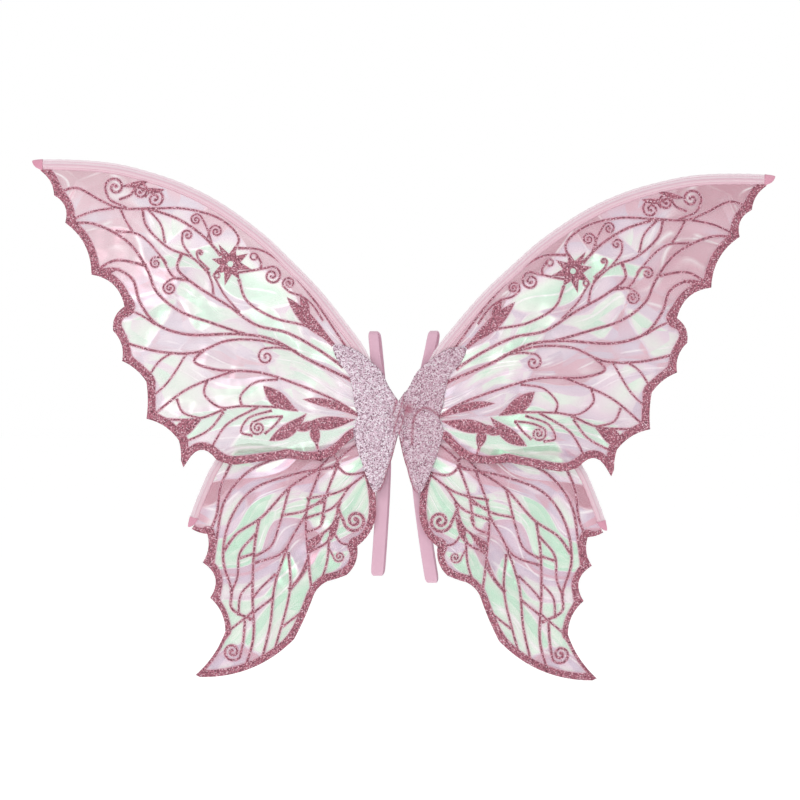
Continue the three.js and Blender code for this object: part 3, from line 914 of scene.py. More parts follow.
def joined(parts):
    """One list of points and faces from several."""
    points, faces, first = [], [], 0
    for some_points, some_faces in parts:
        points.append(some_points)
        faces += [tuple(i + first for i in face) for face in some_faces]
        first += len(some_points)
    return np.concatenate(points), faces


def stitch(start, end, normal):
    """One stitch of thread, a bead that lies along start to end and stands out along normal."""
    side = np.cross(unit(end - start), normal)
    corners = np.array([side, -normal, -side, normal]) * STITCH_RADIUS
    return tube([start + (end - start) * share + corners * swell for share, swell in STITCH_SWELLS])


def stitch_row(points, normal, stitch_sizes=SEAM_STITCH):
    """Stitches along a line of (u, y, z) points."""
    pitch, length = stitch_sizes
    run = run_along(points)
    starts = np.arange(FIRST_STITCH, run[-1] - length, pitch)
    heads, tails = (
        np.stack([np.interp(places, run, column) for column in points.T], axis=1)
        for places in (starts, starts + length)
    )
    return [stitch(head, tail, np.array(normal, float)) for head, tail in zip(heads, tails)]


# ---------------------------------------------------------------- materials

def rgb(red, green, blue):
    """A display colour as the linear one that shaders take."""
    linear = [c / 12.92 if c <= 0.04045 else ((c + 0.055) / 1.055) ** 2.4 for c in (red, green, blue)]
    return (*linear, 1)


class Shader:
    """A material with a Principled shader, and short ways to add nodes to it."""

    def __init__(self, name, **values):
        self.material = bpy.data.materials.new(name)
        self.material.use_nodes = True
        self.tree = self.material.node_tree
        self.principled = self.tree.nodes["Principled BSDF"]
        for key, value in values.items():
            self.use(key.replace("_", " ").title().replace("Ior", "IOR"), value)

    def use(self, name, value):
        self.set(self.principled.inputs[name], value)

    def set(self, socket, value):
        if isinstance(value, bpy.types.NodeSocket):
            self.tree.links.new(value, socket)
        else:
            socket.default_value = value

    def node(self, kind, settings=None, numbered=None, **inputs):
        """A new node; its inputs are given by name, or by number where their names repeat."""
        made = self.tree.nodes.new(kind)
        for key, value in (settings or {}).items():
            setattr(made, key, value)
        for key, value in {**(numbered or {}), **inputs}.items():
            self.set(made.inputs[key], value)
        return made

    def place(self):
        return self.node("ShaderNodeTexCoord").outputs["Object"]

    def noise(self, scale, detail):
        made = self.node("ShaderNodeTexNoise", Vector=self.place(), Scale=scale, Detail=detail)
        return made.outputs["Fac"]

    def wave(self, scale, direction, distortion):
        settings = {"wave_type": "BANDS", "bands_direction": direction}
        inputs = {"Vector": self.place(), "Scale": scale, "Distortion": distortion}
        return self.node("ShaderNodeTexWave", settings, **inputs).outputs["Fac"]

    def weave(self, operation, scale, distortion):
        """Two crossed sets of threads."""
        return self.math(operation, *(self.wave(scale, direction, distortion) for direction in "XZ"))

    def math(self, operation, *values):
        return self.node("ShaderNodeMath", {"operation": operation}, dict(enumerate(values))).outputs[0]

    def scaled(self, value, factor, offset=0.0):
        """A value times a factor, plus an offset."""
        return self.math("MULTIPLY_ADD", value, factor, offset)

    def vector_math(self, operation, *values, **inputs):
        made = self.node("ShaderNodeVectorMath", {"operation": operation}, dict(enumerate(values)), **inputs)
        return made.outputs[0]

    def ramp(self, factor, stops):
        """A colour between stops of a position and a display colour."""
        made = self.node("ShaderNodeValToRGB", Fac=factor)
        elements = made.color_ramp.elements
        while len(elements) < len(stops):
            elements.new(0.5)
        for element, (position, colour) in zip(elements, stops):
            element.position = position
            element.color = rgb(*colour)
        return made.outputs["Color"]

    def mix(self, factor, first, second):
        """Between two colours, each of them a socket or a display colour."""
        first, second = (rgb(*colour) if isinstance(colour, tuple) else colour for colour in (first, second))
        made = self.node("ShaderNodeMix", {"data_type": "RGBA"}, {0: factor, 6: first, 7: second})
        return made.outputs[2]

    def mottle(self, scale, detail, first, second):
        """Colours the surface unevenly, and returns the noise that does it."""
        noise = self.noise(scale, detail)
        self.use("Base Color", self.mix(noise, first, second))
        return noise

    def attribute(self, name):
        return self.node("ShaderNodeAttribute", {"attribute_name": name}).outputs["Fac"]

    def bump(self, height, distance, strength):
        made = self.node("ShaderNodeBump", Height=height, Distance=distance, Strength=strength)
        return made.outputs["Normal"]

    def cells(self, place, scale, dimensions="2D", feature="F1", **inputs):
        """A mosaic of cells."""
        settings = {"voronoi_dimensions": dimensions, "feature": feature}
        return self.node("ShaderNodeTexVoronoi", settings, Vector=place, Scale=scale, **inputs).outputs

    def number_of(self, colour):
        """The first channel of a cell's random colour, as its random number."""
        return self.node("ShaderNodeSeparateColor", Color=colour).outputs[0]

    def creases(self, place, scale, width):
        """1 on the lines between the cells of a mosaic, and 0 a width away from them."""
        distance = self.cells(place, scale, feature="DISTANCE_TO_EDGE")["Distance"]
        return self.math("SUBTRACT", 1.0, self.span(distance, 0.0, width))

    def span(self, value, low, high):
        """0 at and below the low value, and 1 at and above the high one."""
        ends = {"From Min": low, "From Max": high}
        return self.node("ShaderNodeMapRange", Value=value, **ends).outputs["Result"]

    def tilted(self, colour, amount):
        """The surface's normal, leant over by a random colour."""
        centred = self.vector_math("SUBTRACT", colour, (0.5, 0.5, 0.5))
        lean = self.vector_math("SCALE", centred, Scale=amount)
        normal = self.node("ShaderNodeNewGeometry").outputs["Normal"]
        return self.vector_math("NORMALIZE", self.vector_math("ADD", normal, lean))


def glitter_material(name, stops, flake, metallic, roughness, tilt, painted_shade_colour=None):
    """Fabric covered in glitter: each flake has its own shade and its own tilt. Painted shade can darken it
    towards a deeper rose in folds.
    """
    shader = Shader(name, metallic=metallic, roughness=roughness)
    flakes = shader.cells(shader.place(), 1 / (flake * MM), "3D")["Color"]
    shade = shader.ramp(shader.number_of(flakes), stops)
    if painted_shade_colour:
        # Painted shade: the colour is mixed towards the deeper rose as far as the mesh's shade attribute
        # says.
        shade = shader.mix(shader.scaled(shader.attribute("painted_fold_shade"), factor=0.85), shade, painted_shade_colour)
    shader.use("Base Color", shade)
    shader.use("Normal", shader.tilted(flakes, tilt))
    return shader.material


def print_glitter():
    stops = [
        (0.0, (0.34, 0.17, 0.22)), (0.3, (0.53, 0.28, 0.35)), (0.62, (0.68, 0.39, 0.46)),
        (0.86, (0.80, 0.54, 0.60)), (1.0, (0.98, 0.87, 0.91)),
    ]
    return glitter_material("print_glitter", stops, flake=0.9, metallic=0.25, roughness=0.42, tilt=0.7)


def cover_glitter():
    stops = [
        (0.0, (0.47, 0.34, 0.40)), (0.25, (0.68, 0.56, 0.62)), (0.5, (0.82, 0.71, 0.77)),
        (0.75, (0.91, 0.84, 0.89)), (1.0, (1.0, 0.98, 1.0)),
    ]
    # The deeper rose below is the colour of the painted shade in the cover's folds.
    return glitter_material("cover_glitter", stops, flake=1.2, metallic=0.35, roughness=0.36, tilt=0.9,
                            painted_shade_colour=(0.62, 0.33, 0.41))


def organza_material():
    """Sheer cloth: thin threads with gaps between them."""
    shader = Shader("organza", roughness=0.5, sheen_weight=0.25, specular_ior_level=0.35)
    threads = shader.weave("MAXIMUM", scale=620, distortion=0.4)
    patch = shader.mottle(scale=14, detail=3, first=(0.93, 0.86, 0.88), second=(0.90, 0.78, 0.82))
    uneven = shader.scaled(patch, factor=0.12, offset=0.08)
    shader.use("Alpha", shader.scaled(threads, factor=0.12, offset=uneven))
    shader.use("Normal", shader.bump(threads, distance=0.00006, strength=0.6))
    return shader.material


def film_material():
    """Pearly film creased into facets, each with its own tilt and its own tint of mint, white or rose, with
    painted white highlights on some creases and in long streaks.
    """
    shader = Shader("film", metallic=0.25, roughness=0.2, specular_ior_level=0.6, coat_weight=0.4,
                    coat_roughness=0.1)
    along, across = shader.attribute("along"), shader.attribute("across")
    folds = shader.node("ShaderNodeCombineXYZ", X=along, Y=across).outputs[0]
    shortened = shader.scaled(along, factor=0.3)
    long_folds = shader.node("ShaderNodeCombineXYZ", X=shortened, Y=across).outputs[0]
    broad = shader.cells(folds, scale=1.0, feature="SMOOTH_F1", Smoothness=0.16)
    small = shader.cells(folds, scale=2.3)
    tint = shader.scaled(shader.number_of(broad["Color"]), factor=0.62, offset=shader.attribute("rosy"))
    tint = shader.scaled(shader.number_of(small["Color"]), factor=0.22, offset=tint)
    tint = shader.scaled(broad["Distance"], factor=0.28, offset=tint)
    shade = shader.ramp(tint, [
        (0.0, (0.49, 0.87, 0.65)), (0.24, (0.61, 0.91, 0.73)), (0.38, (0.87, 0.97, 0.88)),
        (0.50, (0.90, 0.80, 0.87)), (0.62, (0.78, 0.71, 0.81)), (0.78, (0.85, 0.61, 0.69)),
        (1.0, (0.76, 0.48, 0.56)),
    ])
    # Painted highlights: white lines on some of the creases and in long streaks along the folds, where the
    # film is also more opaque.
    crease_highlight_patches = shader.span(shader.noise(scale=24, detail=1), low=0.40, high=0.66)
    creases = shader.creases(folds, scale=1.0, width=0.04)
    crease_highlight = shader.math("MULTIPLY", creases, shader.scaled(crease_highlight_patches, factor=0.7))
    streak_highlight_patches = shader.span(shader.noise(scale=26, detail=1), low=0.42, high=0.56)
    streak_highlight = shader.math("MULTIPLY", shader.creases(long_folds, scale=1.2, width=0.07), streak_highlight_patches)
    painted_highlight = shader.math("MAXIMUM", crease_highlight, streak_highlight)
    shader.use("Base Color", shader.mix(painted_highlight, shade, (1, 1, 1)))
    cloudy = shader.scaled(shader.noise(scale=30, detail=2), factor=0.14, offset=shader.attribute("weight"))
    dense = shader.scaled(tint, factor=0.30, offset=shader.math("ADD", cloudy, 0.27))
    shader.use("Alpha", shader.scaled(painted_highlight, factor=0.3, offset=dense))
    shader.use("Normal", shader.tilted(broad["Color"], amount=0.22))
    return shader.material


def halo_material():
    """The pale under-print that shows beside every printed line."""
    shader = Shader("print_base", roughness=0.6)
    shader.mottle(scale=900, detail=2, first=(0.93, 0.76, 0.82), second=(0.86, 0.64, 0.72))
    shader.use("Alpha", shader.scaled(shader.noise(scale=1200, detail=1), factor=0.5, offset=0.35))
    return shader.material


def casing_material():
    """Doubled ribbon: paler and sheerer outside the wire, pinker inside it."""
    shader = Shader("casing", roughness=0.55, sheen_weight=0.4, specular_ior_level=0.4)
    band = shader.attribute("band")
    tone = shader.ramp(band, [
        (0.0, (0.96, 0.91, 0.93)), (0.38, (0.96, 0.88, 0.91)), (0.5, (0.93, 0.76, 0.82)),
        (0.62, (0.95, 0.85, 0.88)), (1.0, (0.93, 0.78, 0.83)),
    ])
    grain = shader.scaled(shader.noise(scale=420, detail=3), factor=0.25)
    shader.use("Base Color", shader.mix(grain, tone, (0.90, 0.70, 0.77)))
    shader.use("Alpha", shader.scaled(band, factor=0.22, offset=0.7))
    threads = shader.weave("MULTIPLY", scale=700, distortion=0.5)
    shader.use("Normal", shader.bump(threads, distance=0.0001, strength=0.7))
    return shader.material


def woven_material(name, base, dark, pitch):
    """Opaque woven or knitted cloth with two sets of threads and uneven dye."""
    shader = Shader(name, roughness=0.75, sheen_weight=0.3, specular_ior_level=0.3)
    weave = shader.weave("MULTIPLY", scale=1 / (pitch * MM) / 2, distortion=0.6)
    shader.mottle(scale=60, detail=4, first=base, second=dark)
    shader.use("Normal", shader.bump(weave, distance=0.00012, strength=0.8))
    return shader.material


def elastic_material():
    """Ribbed elastic: cords run along the band, with a fine knit across it, and painted shade darkens the
    grooves between the cords.
    """
    shader = Shader("elastic", roughness=0.62, sheen_weight=0.35, specular_ior_level=0.35)
    # Painted shade: the grooves between the cords, and the band's two edges, are a darker pink than the
    # cords.
    tone = shader.mix(shader.attribute("rib"), (0.80, 0.61, 0.70), (0.91, 0.74, 0.81))
    uneven = shader.scaled(shader.noise(scale=50, detail=3), factor=0.35)
    shader.use("Base Color", shader.mix(uneven, tone, (0.94, 0.81, 0.86)))
    knit = shader.wave(scale=480, direction="Z", distortion=0.8)
    shader.use("Normal", shader.bump(knit, distance=0.00012, strength=0.6))
    return shader.material


def felt_material():
    shader = Shader("felt", roughness=0.92, sheen_weight=0.6, specular_ior_level=0.2)
    fibres = shader.mottle(scale=1500, detail=6, first=(0.72, 0.57, 0.64), second=(0.88, 0.76, 0.81))
    shader.use("Normal", shader.bump(fibres, distance=0.0003, strength=0.8))
    return shader.material


def wire_material():
    shader = Shader("wire", metallic=0.9)
    scratches = shader.mottle(scale=700, detail=4, first=(0.74, 0.75, 0.77), second=(0.60, 0.61, 0.63))
    shader.use("Roughness", shader.scaled(scratches, factor=0.3, offset=0.22))
    return shader.material


def thread_material(name, colour, dark):
    shader = Shader(name, roughness=0.5, sheen_weight=0.3)
    shader.mottle(scale=1600, detail=2, first=colour, second=dark)
    return shader.material


def floor_material():
    shader = Shader("floor", roughness=0.9, base_color=(0.8, 0.8, 0.8, 1), specular_ior_level=0.1,
                    emission_color=(1, 1, 1, 1), emission_strength=0.42)
    return shader.material


MATERIALS = {
    "organza": organza_material(),
    "film": film_material(),
    "print_glitter": print_glitter(),
    "print_base": halo_material(),
    "casing": casing_material(),
    "cover": cover_glitter(),
    "tab": woven_material("tip_ribbon", (0.90, 0.68, 0.75), (0.83, 0.54, 0.64), 0.5),
    "felt": felt_material(),
    "elastic": elastic_material(),
    "wire": wire_material(),
    "binding": woven_material("binding_tape", (0.86, 0.66, 0.73), (0.74, 0.52, 0.60), 0.6),
    "thread": thread_material("pink_thread", (0.90, 0.66, 0.75), (0.78, 0.52, 0.62)),
    "pale_thread": thread_material("pale_thread", (0.96, 0.88, 0.91), (0.88, 0.74, 0.80)),
    "rose_thread": thread_material("rose_thread", (0.72, 0.44, 0.54), (0.60, 0.34, 0.44)),
}


# ---------------------------------------------------------------- the pieces

def node_faces(node):
    """The depths of a CAD plate's front and back faces, in millimetres."""
    low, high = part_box(node)
    return low.y / MM, high.y / MM


def plan_wing(kind):
    """One wing's cloth, film and print, as triangles in the half's own frame."""
    outline = wing_outline(kind)[0]
    core = print_shapes(kind, 0) + border_shapes(kind, 0)
    halo = print_shapes(kind, HALO) + border_shapes(kind, HALO)
    hole = [disc(FLOWER_CENTRE, FLOWER_RADII[2])] if kind == "forewing" else []
    flat, triangles, (in_core, in_halo, in_hole) = triangulate(outline, GRID_STEP, (core, halo, hole))
    return {
        "outline": outline,
        "flat": flat,
        "triangles": triangles,
        "core": np.setdiff1d(in_core, in_hole),
        "halo": np.setdiff1d(np.union1d(in_core, in_halo), in_hole),
        "film": triangulate(outline, FILM_STEP)[:2],
        "billow": billow(kind, flat),
    }


def wing_sheets(side, kind, plan):
    """Organza, the film behind it, and the print on its front."""
    prefix = f"{side}_{kind}"
    flat, triangles = plan["flat"], plan["triangles"]
    front = node_faces(f"{prefix}_organza")[0] + plan["billow"]
    full = upright(flat, front)
    cloth = add_piece(f"{prefix}_cloth", side, kind, (full, triangles), "organza", "organza",
                      [f"{prefix}_organza"])

    halo = used_only(full - [0, BASE_LIFT, 0], triangles[plan["halo"]])[:2]
    base = add_piece(f"{prefix}_print_base", side, kind, halo, "print_base", "organza")

    core_flat, core_faces, kept = used_only(flat, triangles[plan["core"]])
    raised = slab(core_flat, core_faces, front[kept] - GLITTER_TOP, front[kept] - GLITTER_FOOT, closed=False)
    glitter = add_piece(f"{prefix}_print_glitter", side, kind, raised, "print_glitter", "glitter_print",
                        smooth=False)

    film = pearl_film(side, kind, *plan["film"])
    for piece in (cloth, base, glitter, film):
        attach(piece, f"{side}_half")


def pearl_film(side, kind, flat, triangles):
    """The creased film, with the numbers that its shader tints it by."""
    prefix = f"{side}_{kind}"
    free = slack(kind, flat)
    creased = FILM_CREASE * crumple(flat, FILM_SEED[kind]) * free
    depth = node_faces(f"{prefix}_film")[0] + billow(kind, flat) + creased
    along, across = fold_frame(kind, flat)
    tip_start, tip_end = TIP_REACH
    near_tip = ease((polar(flat)[0] - tip_start) / (tip_end - tip_start))
    looks = {
        "along": along,
        "across": across,
        "rosy": ROOT_ROSE * (1 - free) ** 2 + TIP_ROSE[kind] * near_tip + FILM_ROSE[side][kind],
        "weight": np.full(len(flat), FILM_WEIGHT[side][kind]),
    }
    return add_piece(f"{prefix}_pearl_film", side, kind, (upright(flat, depth), triangles), "film", "film",
                     [f"{prefix}_film"], attributes=looks)


def casing_section(half_width, swell):
    """(across, depth) round a casing: a bulge over the wire between two flat flanges."""
    shares = np.array(CASING_SHARES)
    across = np.concatenate([-shares, shares[::-1]]) * half_width
    thick = (FLANGE + (WIRE_BULGE - FLANGE) * bell(across, BULGE_WIDTH)) * swell
    thick[[0, -1]] *= CASING_RIM
    upper = np.stack([across, -thick], axis=1)
    return np.vstack([upper, -upper])


def casing(side, kind):
    """The sewn sleeve round a spar, its rows of stitches and its tip ribbon."""
    prefix = f"{side}_{kind}"
    line = Line(SPARS[kind])
    mid_y = sum(node_faces(f"{prefix}_casing")) / 2
    half_width = CASING_WIDTH[kind] / 2
    end = line.length - TAB_LENGTH
    stations = np.arange(CASING_START[kind], end + CASING_OVERRUN, STATION_STEP)
    rings, bands = [], []
    for distance in stations:
        pucker = 1 + sum(depth * math.sin(distance * rate) for depth, rate in PUCKERS)
        waver = WAVER[0] * math.sin(distance * WAVER[1])
        section = casing_section(half_width + waver, pucker)
        rings.append(upright(line.beside(distance, section[:, 0]), mid_y + section[:, 1]))
        bands.append((section[:, 0] / half_width + 1) / 2)
    sleeve = add_piece(f"{prefix}_sleeve", side, kind, tube(rings), "casing", "casing", [f"{prefix}_casing"],
                       attributes={"band": np.concatenate(bands)})
    rows = []
    for share in SEAM_SHARES:
        for face in (-1, 1):
            seam = upright(line.beside(stations, share * half_width), mid_y + face * (FLANGE + THREAD_LIFT))
            rows += stitch_row(seam, (0, face, 0))
    thread = add_piece(f"{prefix}_sleeve_stitches", side, kind, joined(rows), "thread", "casing")
    for piece in (sleeve, thread):
        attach(piece, f"{side}_half")
    tip_ribbon(side, kind, line, mid_y, half_width)


def tip_ribbon(side, kind, line, mid_y, half_width):
    """A short ribbon folded over the casing's end. It tapers, and its outer edge stays straight."""
    prefix = f"{side}_{kind}"
    start = line.length - TAB_LENGTH - TAB_OVERLAP
    last = line.length - LINE_END_GAP
    full = half_width + TAB_MARGIN
    angles = spokes(TAB_SIDES)
    cosines = np.cos(angles)
    rings = []
    for share in np.linspace(0, 1, TAB_RINGS):
        distance = start + (TAB_LENGTH + TAB_OVERLAP - TAB_SHORT) * share
        taper = math.sqrt(max(TAB_LEAST, 1 - max(0, share - TAB_ROUND) ** 2 / TAB_ROUNDNESS))
        width = full * (1 - TAB_NARROWING * share) * taper
        depth = (TAB_DEPTH - TAB_THINNING * share) * taper
        across = width * np.sign(cosines) * np.abs(cosines) ** TAB_SQUARE - TAB_SHIFT * (full - width)
        deep = depth * np.sin(angles) * (1 + TAB_CRUSH * np.cos(angles * TAB_CREASES))
        over = line.tangent(line.length - TAB_OVERLAP) * max(0, distance - last)
        rings.append(upright(line.beside(min(distance, last), across) + over, mid_y + deep))
    ribbon = add_piece(f"{prefix}_tip_ribbon", side, kind, tube(rings), "tab", "tip_tab",
                       [f"{prefix}_tip_tab"])
    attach(ribbon, f"{side}_half")


def cover(side):
    """Glitter fabric over the wing roots, gathered towards the neck."""
    outline = smooth_line(COVER_INNER["top"] + COVER + COVER_INNER["bottom"], PAD_STEP)
    flat, triangles, _ = triangulate(outline, PAD_GRID)
    inside = distance_to(flat, outline)
    reach, angle = polar(flat)
    near_neck = bell(reach - GATHER_START, GATHER_REACH)
    gathers = near_neck * np.cos(angle * GATHER_COUNT + GATHER_PHASE)
    rounded = 1 - np.exp(-inside / COVER_ROUND_REACH)
    front = COVER_FRONT - COVER_ROUND * rounded - GATHER_DEPTH * gathers
    front += COVER_RIPPLE * ripples(flat, *COVER_RIPPLES) * rounded
    # Painted shade, as a deeper rose: over the whole right side, near the neck and on the gathers.
    painted_fold_shade = COVER_SHADE[side] + NECK_SHADE * bell(reach, NECK_SHADE_REACH)
    painted_fold_shade += GATHER_SHADE * near_neck * ease(gathers - GATHER_LEVEL)
    if side == "right":
        from_lobe = distance_to(flat, smooth_line(LOBE_EDGE, LOBE_STEP))
        in_lobe = np.zeros(len(flat), bool)
        in_lobe[inside_of(flat, np.array(LOBE_EDGE + LOBE_REST, float))] = True
        raised = LOBE_RISE * ease(from_lobe / LOBE_LIP) * np.exp(-from_lobe / LOBE_REACH)
        front -= np.where(in_lobe, raised, -LOBE_DIP * np.exp(-from_lobe / LOBE_DIP_REACH))
        from_tuck = np.linalg.norm(flat - np.array(TUCK), axis=1)
        # Painted shade along the lobe's edge and at the tuck.
        painted_fold_shade += LOBE_SHADE * bell(from_lobe, LOBE_LINE) + TUCK_SHADE * bell(from_tuck, TUCK_REACH)
    # Painted shade along the hem turned under, low on the cover and near the neck.
    turned_under = (flat[:, 1] < HEM_TOP) * (flat[:, 0] < HEM_SIDE)
    painted_fold_shade = np.clip(painted_fold_shade + ease((HEM - inside) / HEM_FADE) * turned_under, 0, 1)
    cloth = slab(flat, triangles, front, front + COVER_THICKNESS)
    piece = add_piece(f"{side}_cover_fabric", side, "root", cloth, "cover", "glitter_fabric",
                      [f"{side}_root_cover"], attributes={"painted_fold_shade": np.tile(painted_fold_shade, 2)})
    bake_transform(piece)


def neck_fabric():
    """The gathered middle of the cover, in slanting folds."""
    outline = np.vstack([smooth_line(NECK_TOP, NECK_STEP), smooth_line(NECK_BOTTOM, NECK_STEP)])
    flat, triangles, _ = triangulate(outline, NECK_GRID)
    u, z = flat.T
    pinch = bell(z, NECK_PINCH_REACH)
    rate_u, rate_z, phase = PLEAT_WAVE
    pleats = np.cos(u * rate_u + z * rate_z + phase)
    front = NECK_FRONT - NECK_PINCH * pinch - PLEAT_DEPTH * pleats * (1 - PLEAT_FADE * (1 - pinch))
    front += NECK_SIDES * np.abs(u / NECK_HALF_WIDTH) ** 3
    # Painted shade: a deeper rose over all the neck fabric, deepest on the pleats.
    painted_fold_shade = NECK_SHADE_LEAST + (1 - NECK_SHADE_LEAST) * np.maximum(pleats, 0) ** 2
    cloth = slab(flat, triangles, front, front + NECK_THICKNESS)
    piece = add_piece("neck_fabric", "right", "strap", cloth, "cover", "glitter_fabric", ["neck_gather"],
                      attributes={"painted_fold_shade": np.tile(painted_fold_shade, 2)})
    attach(piece, "center")


def neck_roll():
    """The rolled core that the covers are gathered over, bound round its waist."""
    low, high = (np.array(corner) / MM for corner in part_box("neck_roll"))
    centre, half = (low + high) / 2, (high - low) / 2
    angles = spokes(ROLL_SIDES)
    pleat = 1 - ROLL_PLEAT * (1 + np.cos(angles * ROLL_PLEATS))
    rings = []
    for share in np.linspace(-1, 1, ROLL_RINGS):
        girth = 1 - ROLL_WAIST * bell(share, ROLL_WAIST_REACH) - ROLL_END * abs(share) ** ROLL_END_POWER
        level = np.stack([np.cos(angles), np.sin(angles), np.full(ROLL_SIDES, share)], axis=1)
        level[:, :2] *= (girth * pleat)[:, None]
        rings.append(centre + half * level)
    piece = add_piece("neck_roll_fabric", "right", "strap", tube(rings), "binding", "binding", ["neck_roll"])
    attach(piece, "center")


def felt_pad(name, side, part, outline, node, body):
    """A stiff felt pad with soft edges and a row of stitches inside them."""
    outline = np.array(outline, float)
    flat, triangles, _ = triangulate(outline, PAD_GRID)
    inside = distance_to(flat, np.vstack([outline, outline[:1]]))
    groove = SEAM_GROOVE * bell(inside - FELT_SEAM, SEAM_WIDTH)
    soft = FELT_SOFTNESS * np.exp(-inside / FELT_EDGE)
    front, back = node_faces(node)
    felt = slab(flat, triangles, front + soft, back - soft - groove)
    pad = add_piece(name, side, part, felt, "felt", "lining", [node])
    seam = joined(stitch_row(upright(inset_ring(outline, FELT_SEAM), back - SEAM_SINK), (0, 1, 0)))
    thread = add_piece(f"{name}_stitches", side, part, seam, "rose_thread", "lining")
    for piece in (pad, thread):
        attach(piece, body)


def inset_ring(outline, margin):
    """A closed ring of points a margin inside a clockwise or anticlockwise outline."""
    line = smooth_line(outline, PAD_STEP, closed=True)
    left = left_of(unit(np.roll(line, -1, axis=0) - np.roll(line, 1, axis=0)))
    inwards = left if twice_area(line) > 0 else -left
    moved = line + inwards * margin
    clear = distance_to(moved, np.vstack([line, line[:1]])) > margin * LEAST_MARGIN
    moved = moved[clear]
    return np.vstack([moved, moved[:1]])


def strap_u(spec, z):
    """How far out a loop's centre line stands at each height."""
    waist_u, waist_z = spec["waist"]
    top_lean, bottom_lean = spec["lean"]
    up = np.clip((z - waist_z) / (spec["top"] - waist_z), 0, 1)
    down = np.clip((waist_z - z) / (waist_z - spec["bottom"]), 0, 1)
    return waist_u + top_lean * up ** STRAP_LEAN_POWER + bottom_lean * down ** STRAP_LEAN_POWER


def strap(side):
    """One loop of ribbed elastic, sewn to the backing pad by the middle of its front run."""
    spec = STRAPS[side]
    top, bottom = spec["top"], spec["bottom"]
    middle = (top + bottom) / 2
    front_y = sum(node_faces(f"{side}_strap_front")) / 2
    upper = [(y, top - inset) for y, inset in STRAP_END_PATH]
    lower = [(y, bottom + inset) for y, inset in reversed(STRAP_END_PATH)]
    path = [(front_y, z) for z in STRAP_FRONT_HEIGHTS] + upper + [(STRAP_BOW, middle)] + lower
    depth, height = smooth_line(path, STRAP_STEP, closed=True).T
    u = strap_u(spec, height) + spec["aside"] * ease(depth / STRAP_REAR)
    centres = np.stack([u, depth, height], axis=1)
    tangents = unit(np.roll(centres, -1, axis=0) - np.roll(centres, 1, axis=0))
    profile, ribs = strap_profile()
    rings = []
    for centre, tangent in zip(centres, tangents):
        across = unit(np.array([1.0, 0, 0]) - tangent[0] * tangent)
        through = np.cross(across, tangent)
        _, y, z = centre
        near_end = max(0, min(top - z, z - bottom))
        drawn_in = STRAP_DRAWN * ease((z - DRAWN_FROM) / DRAWN_OVER) * ease((STRAP_REAR - y) / DRAWN_DEPTH)
        narrow = (1 - STRAP_END_DRAWN * math.exp(-near_end / STRAP_END_REACH)) * (1 - drawn_in)
        rings.append(centre + profile[:, :1] * across * narrow + profile[:, 1:] * through)
    looks = {"rib": np.tile(ribs, len(rings))}
    band = add_piece(f"{side}_elastic_loop", side, "strap", tube(rings, closed=True), "elastic", "elastic",
                     [f"{side}_strap_front", f"{side}_strap_rear"], attributes=looks)
    rows = []
    for y, heights in ((front_y, FRONT_SEAMS), (STRAP_BOW, middle + np.array(REAR_SEAMS))):
        for z in heights:
            at = float(strap_u(spec, z))
            ends = np.array([(at + reach, y + SEAM_LIFT, z) for reach in (-SEAM_REACH, SEAM_REACH)])
            rows += stitch_row(ends, (0, 1, 0), TACK_STITCH)
    thread = add_piece(f"{side}_elastic_stitches", side, "strap", joined(rows), "pale_thread", "elastic")
    for piece in (band, thread):
        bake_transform(piece)


def strap_profile():
    """(across, through) points round the elastic's section, and how much each stands on a rib; the elastic's
    colour has painted shade where it is 0.
    """
    half, thick = STRAP_WIDTH / 2, STRAP_THICKNESS / 2
    across = np.linspace(STRAP_EDGE - half, half - STRAP_EDGE, STRAP_CORDS)
    ribs = (np.arange(STRAP_CORDS) % 2).astype(float)
    upper = np.stack([across, thick - RIB_DEPTH * (1 - ribs)], axis=1)
    profile = np.vstack([[(-half, 0)], upper, [(half, 0)], upper[::-1] * (1, -1)])
    return profile, np.concatenate([[0], ribs, [0], ribs[::-1]])


def wound_thread(side):
    """Cord wound round the root binding, holding both spars."""
    low, high = (np.array(corner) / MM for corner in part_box(f"{side}_root_binding"))
    centre, half = (low + high) / 2, (high - low) / 2
    share = np.linspace(0, 1, CORD_TURNS * CORD_STEPS + 1)
    turn = headings(2 * math.pi * CORD_TURNS * share)
    square = 1 / np.abs(turn).max(axis=1, keepdims=True) ** CORD_SQUARE
    around = centre[1:] + (half[1:] + CORD_LIFT * CORD_RADIUS) * turn * square
    room = np.array(CORD_ROOM) * CORD_RADIUS
    around = np.clip(around, low[1:] - room, high[1:] + room)
    along = low[0] + CORD_RADIUS + (high[0] - low[0] - 2 * CORD_RADIUS) * share
    section = headings(spokes(CORD_SIDES)) * CORD_RADIUS
    rings = []
    for x, (y, z) in zip(along, around):
        outwards = unit(np.array([0, y - centre[1], z - centre[2]]))
        rings.append(np.array([x, y, z]) + section[:, :1] * np.array([1.0, 0, 0]) + section[:, 1:] * outwards)
    points, faces = tube(rings)
    piece = make_object(f"{side}_root_winding", points * MM, faces, "thread")
    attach(piece, f"{side}_half")


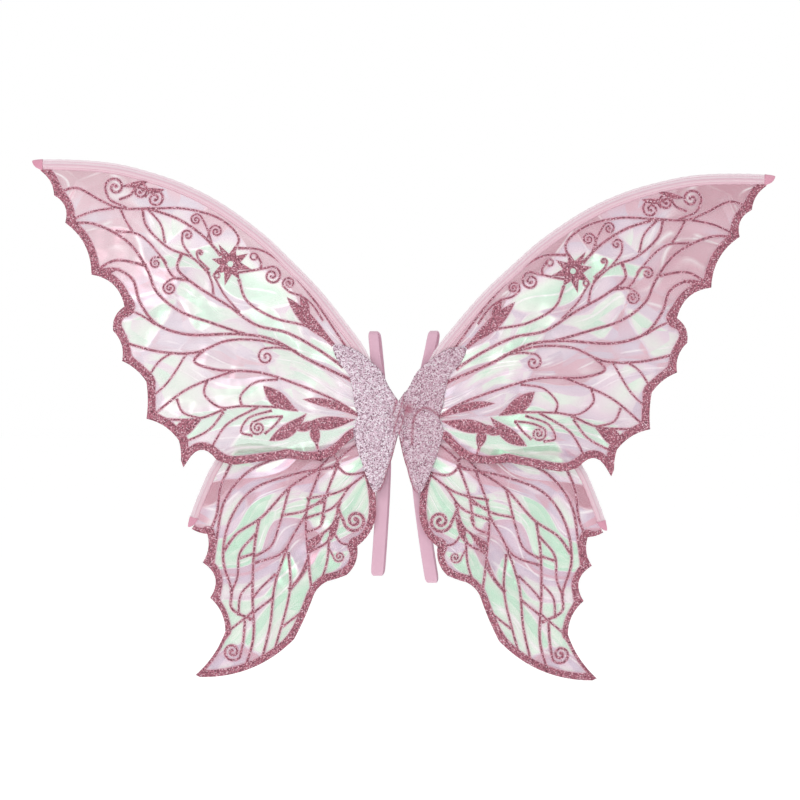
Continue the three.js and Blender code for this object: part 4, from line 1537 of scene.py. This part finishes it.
def paint_cad_nodes():
    """Wire for the CAD's spars, and tape for the rest of the CAD, of which only the root bindings show."""
    for name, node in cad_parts.items():
        finish = "wire" if name.endswith("_spar") else "binding"
        node.data.materials.clear()
        node.data.materials.append(MATERIALS[finish])


def studio():
    """White world and floor, soft lights and the camera."""
    scene = bpy.context.scene
    scene.view_settings.view_transform = "Standard"
    scene.cycles.transparent_max_bounces = 32
    world = bpy.data.worlds.new("studio")
    scene.world = world
    world.use_nodes = True
    nodes, links = world.node_tree.nodes, world.node_tree.links
    background = nodes["Background"]
    background.inputs["Color"].default_value = (1, 1, 1, 1)
    seen = nodes.new("ShaderNodeLightPath").outputs["Is Camera Ray"]
    strength = nodes.new("ShaderNodeMapRange")
    strength.inputs["To Min"].default_value = WORLD_LIGHT
    strength.inputs["To Max"].default_value = 1.0
    links.new(seen, strength.inputs["Value"])
    links.new(strength.outputs["Result"], background.inputs["Strength"])
    bpy.ops.mesh.primitive_plane_add(size=FLOOR_SIZE, location=(0, 0, FLOOR_Z))
    floor = bpy.context.active_object
    floor.name = "floor"
    floor.data.materials.append(floor_material())
    for name, place_at, size, power in LIGHTS:
        light = bpy.data.lights.new(name, "AREA")
        light.size = size
        light.energy = power
        holder = bpy.data.objects.new(name, light)
        holder.location = place_at
        holder.rotation_euler = (-Vector(place_at)).to_track_quat("-Z", "Y").to_euler()
        scene.collection.objects.link(holder)
    camera = bpy.data.cameras.new("camera")
    camera.lens = LENS
    camera.sensor_width = SENSOR
    viewer = bpy.data.objects.new("camera", camera)
    viewer.location = AIM + Vector((0, -CAMERA_DISTANCE, 0))
    viewer.rotation_euler = (math.pi / 2, 0, 0)
    scene.collection.objects.link(viewer)
    scene.camera = viewer


studio()
paint_cad_nodes()
for wing_kind in KINDS:
    wing_plan = plan_wing(wing_kind)
    for wing_side in SIDES:
        wing_sheets(wing_side, wing_kind, wing_plan)
        casing(wing_side, wing_kind)
neck_roll()
neck_fabric()
felt_pad("neck_felt", "right", "strap", NECK_PAD, "neck_lining", "center")
for root_side in SIDES:
    cover(root_side)
    felt_pad(f"{root_side}_felt", root_side, "root", BACKING, f"{root_side}_backing_pad", f"{root_side}_half")
    strap(root_side)
    wound_thread(root_side)
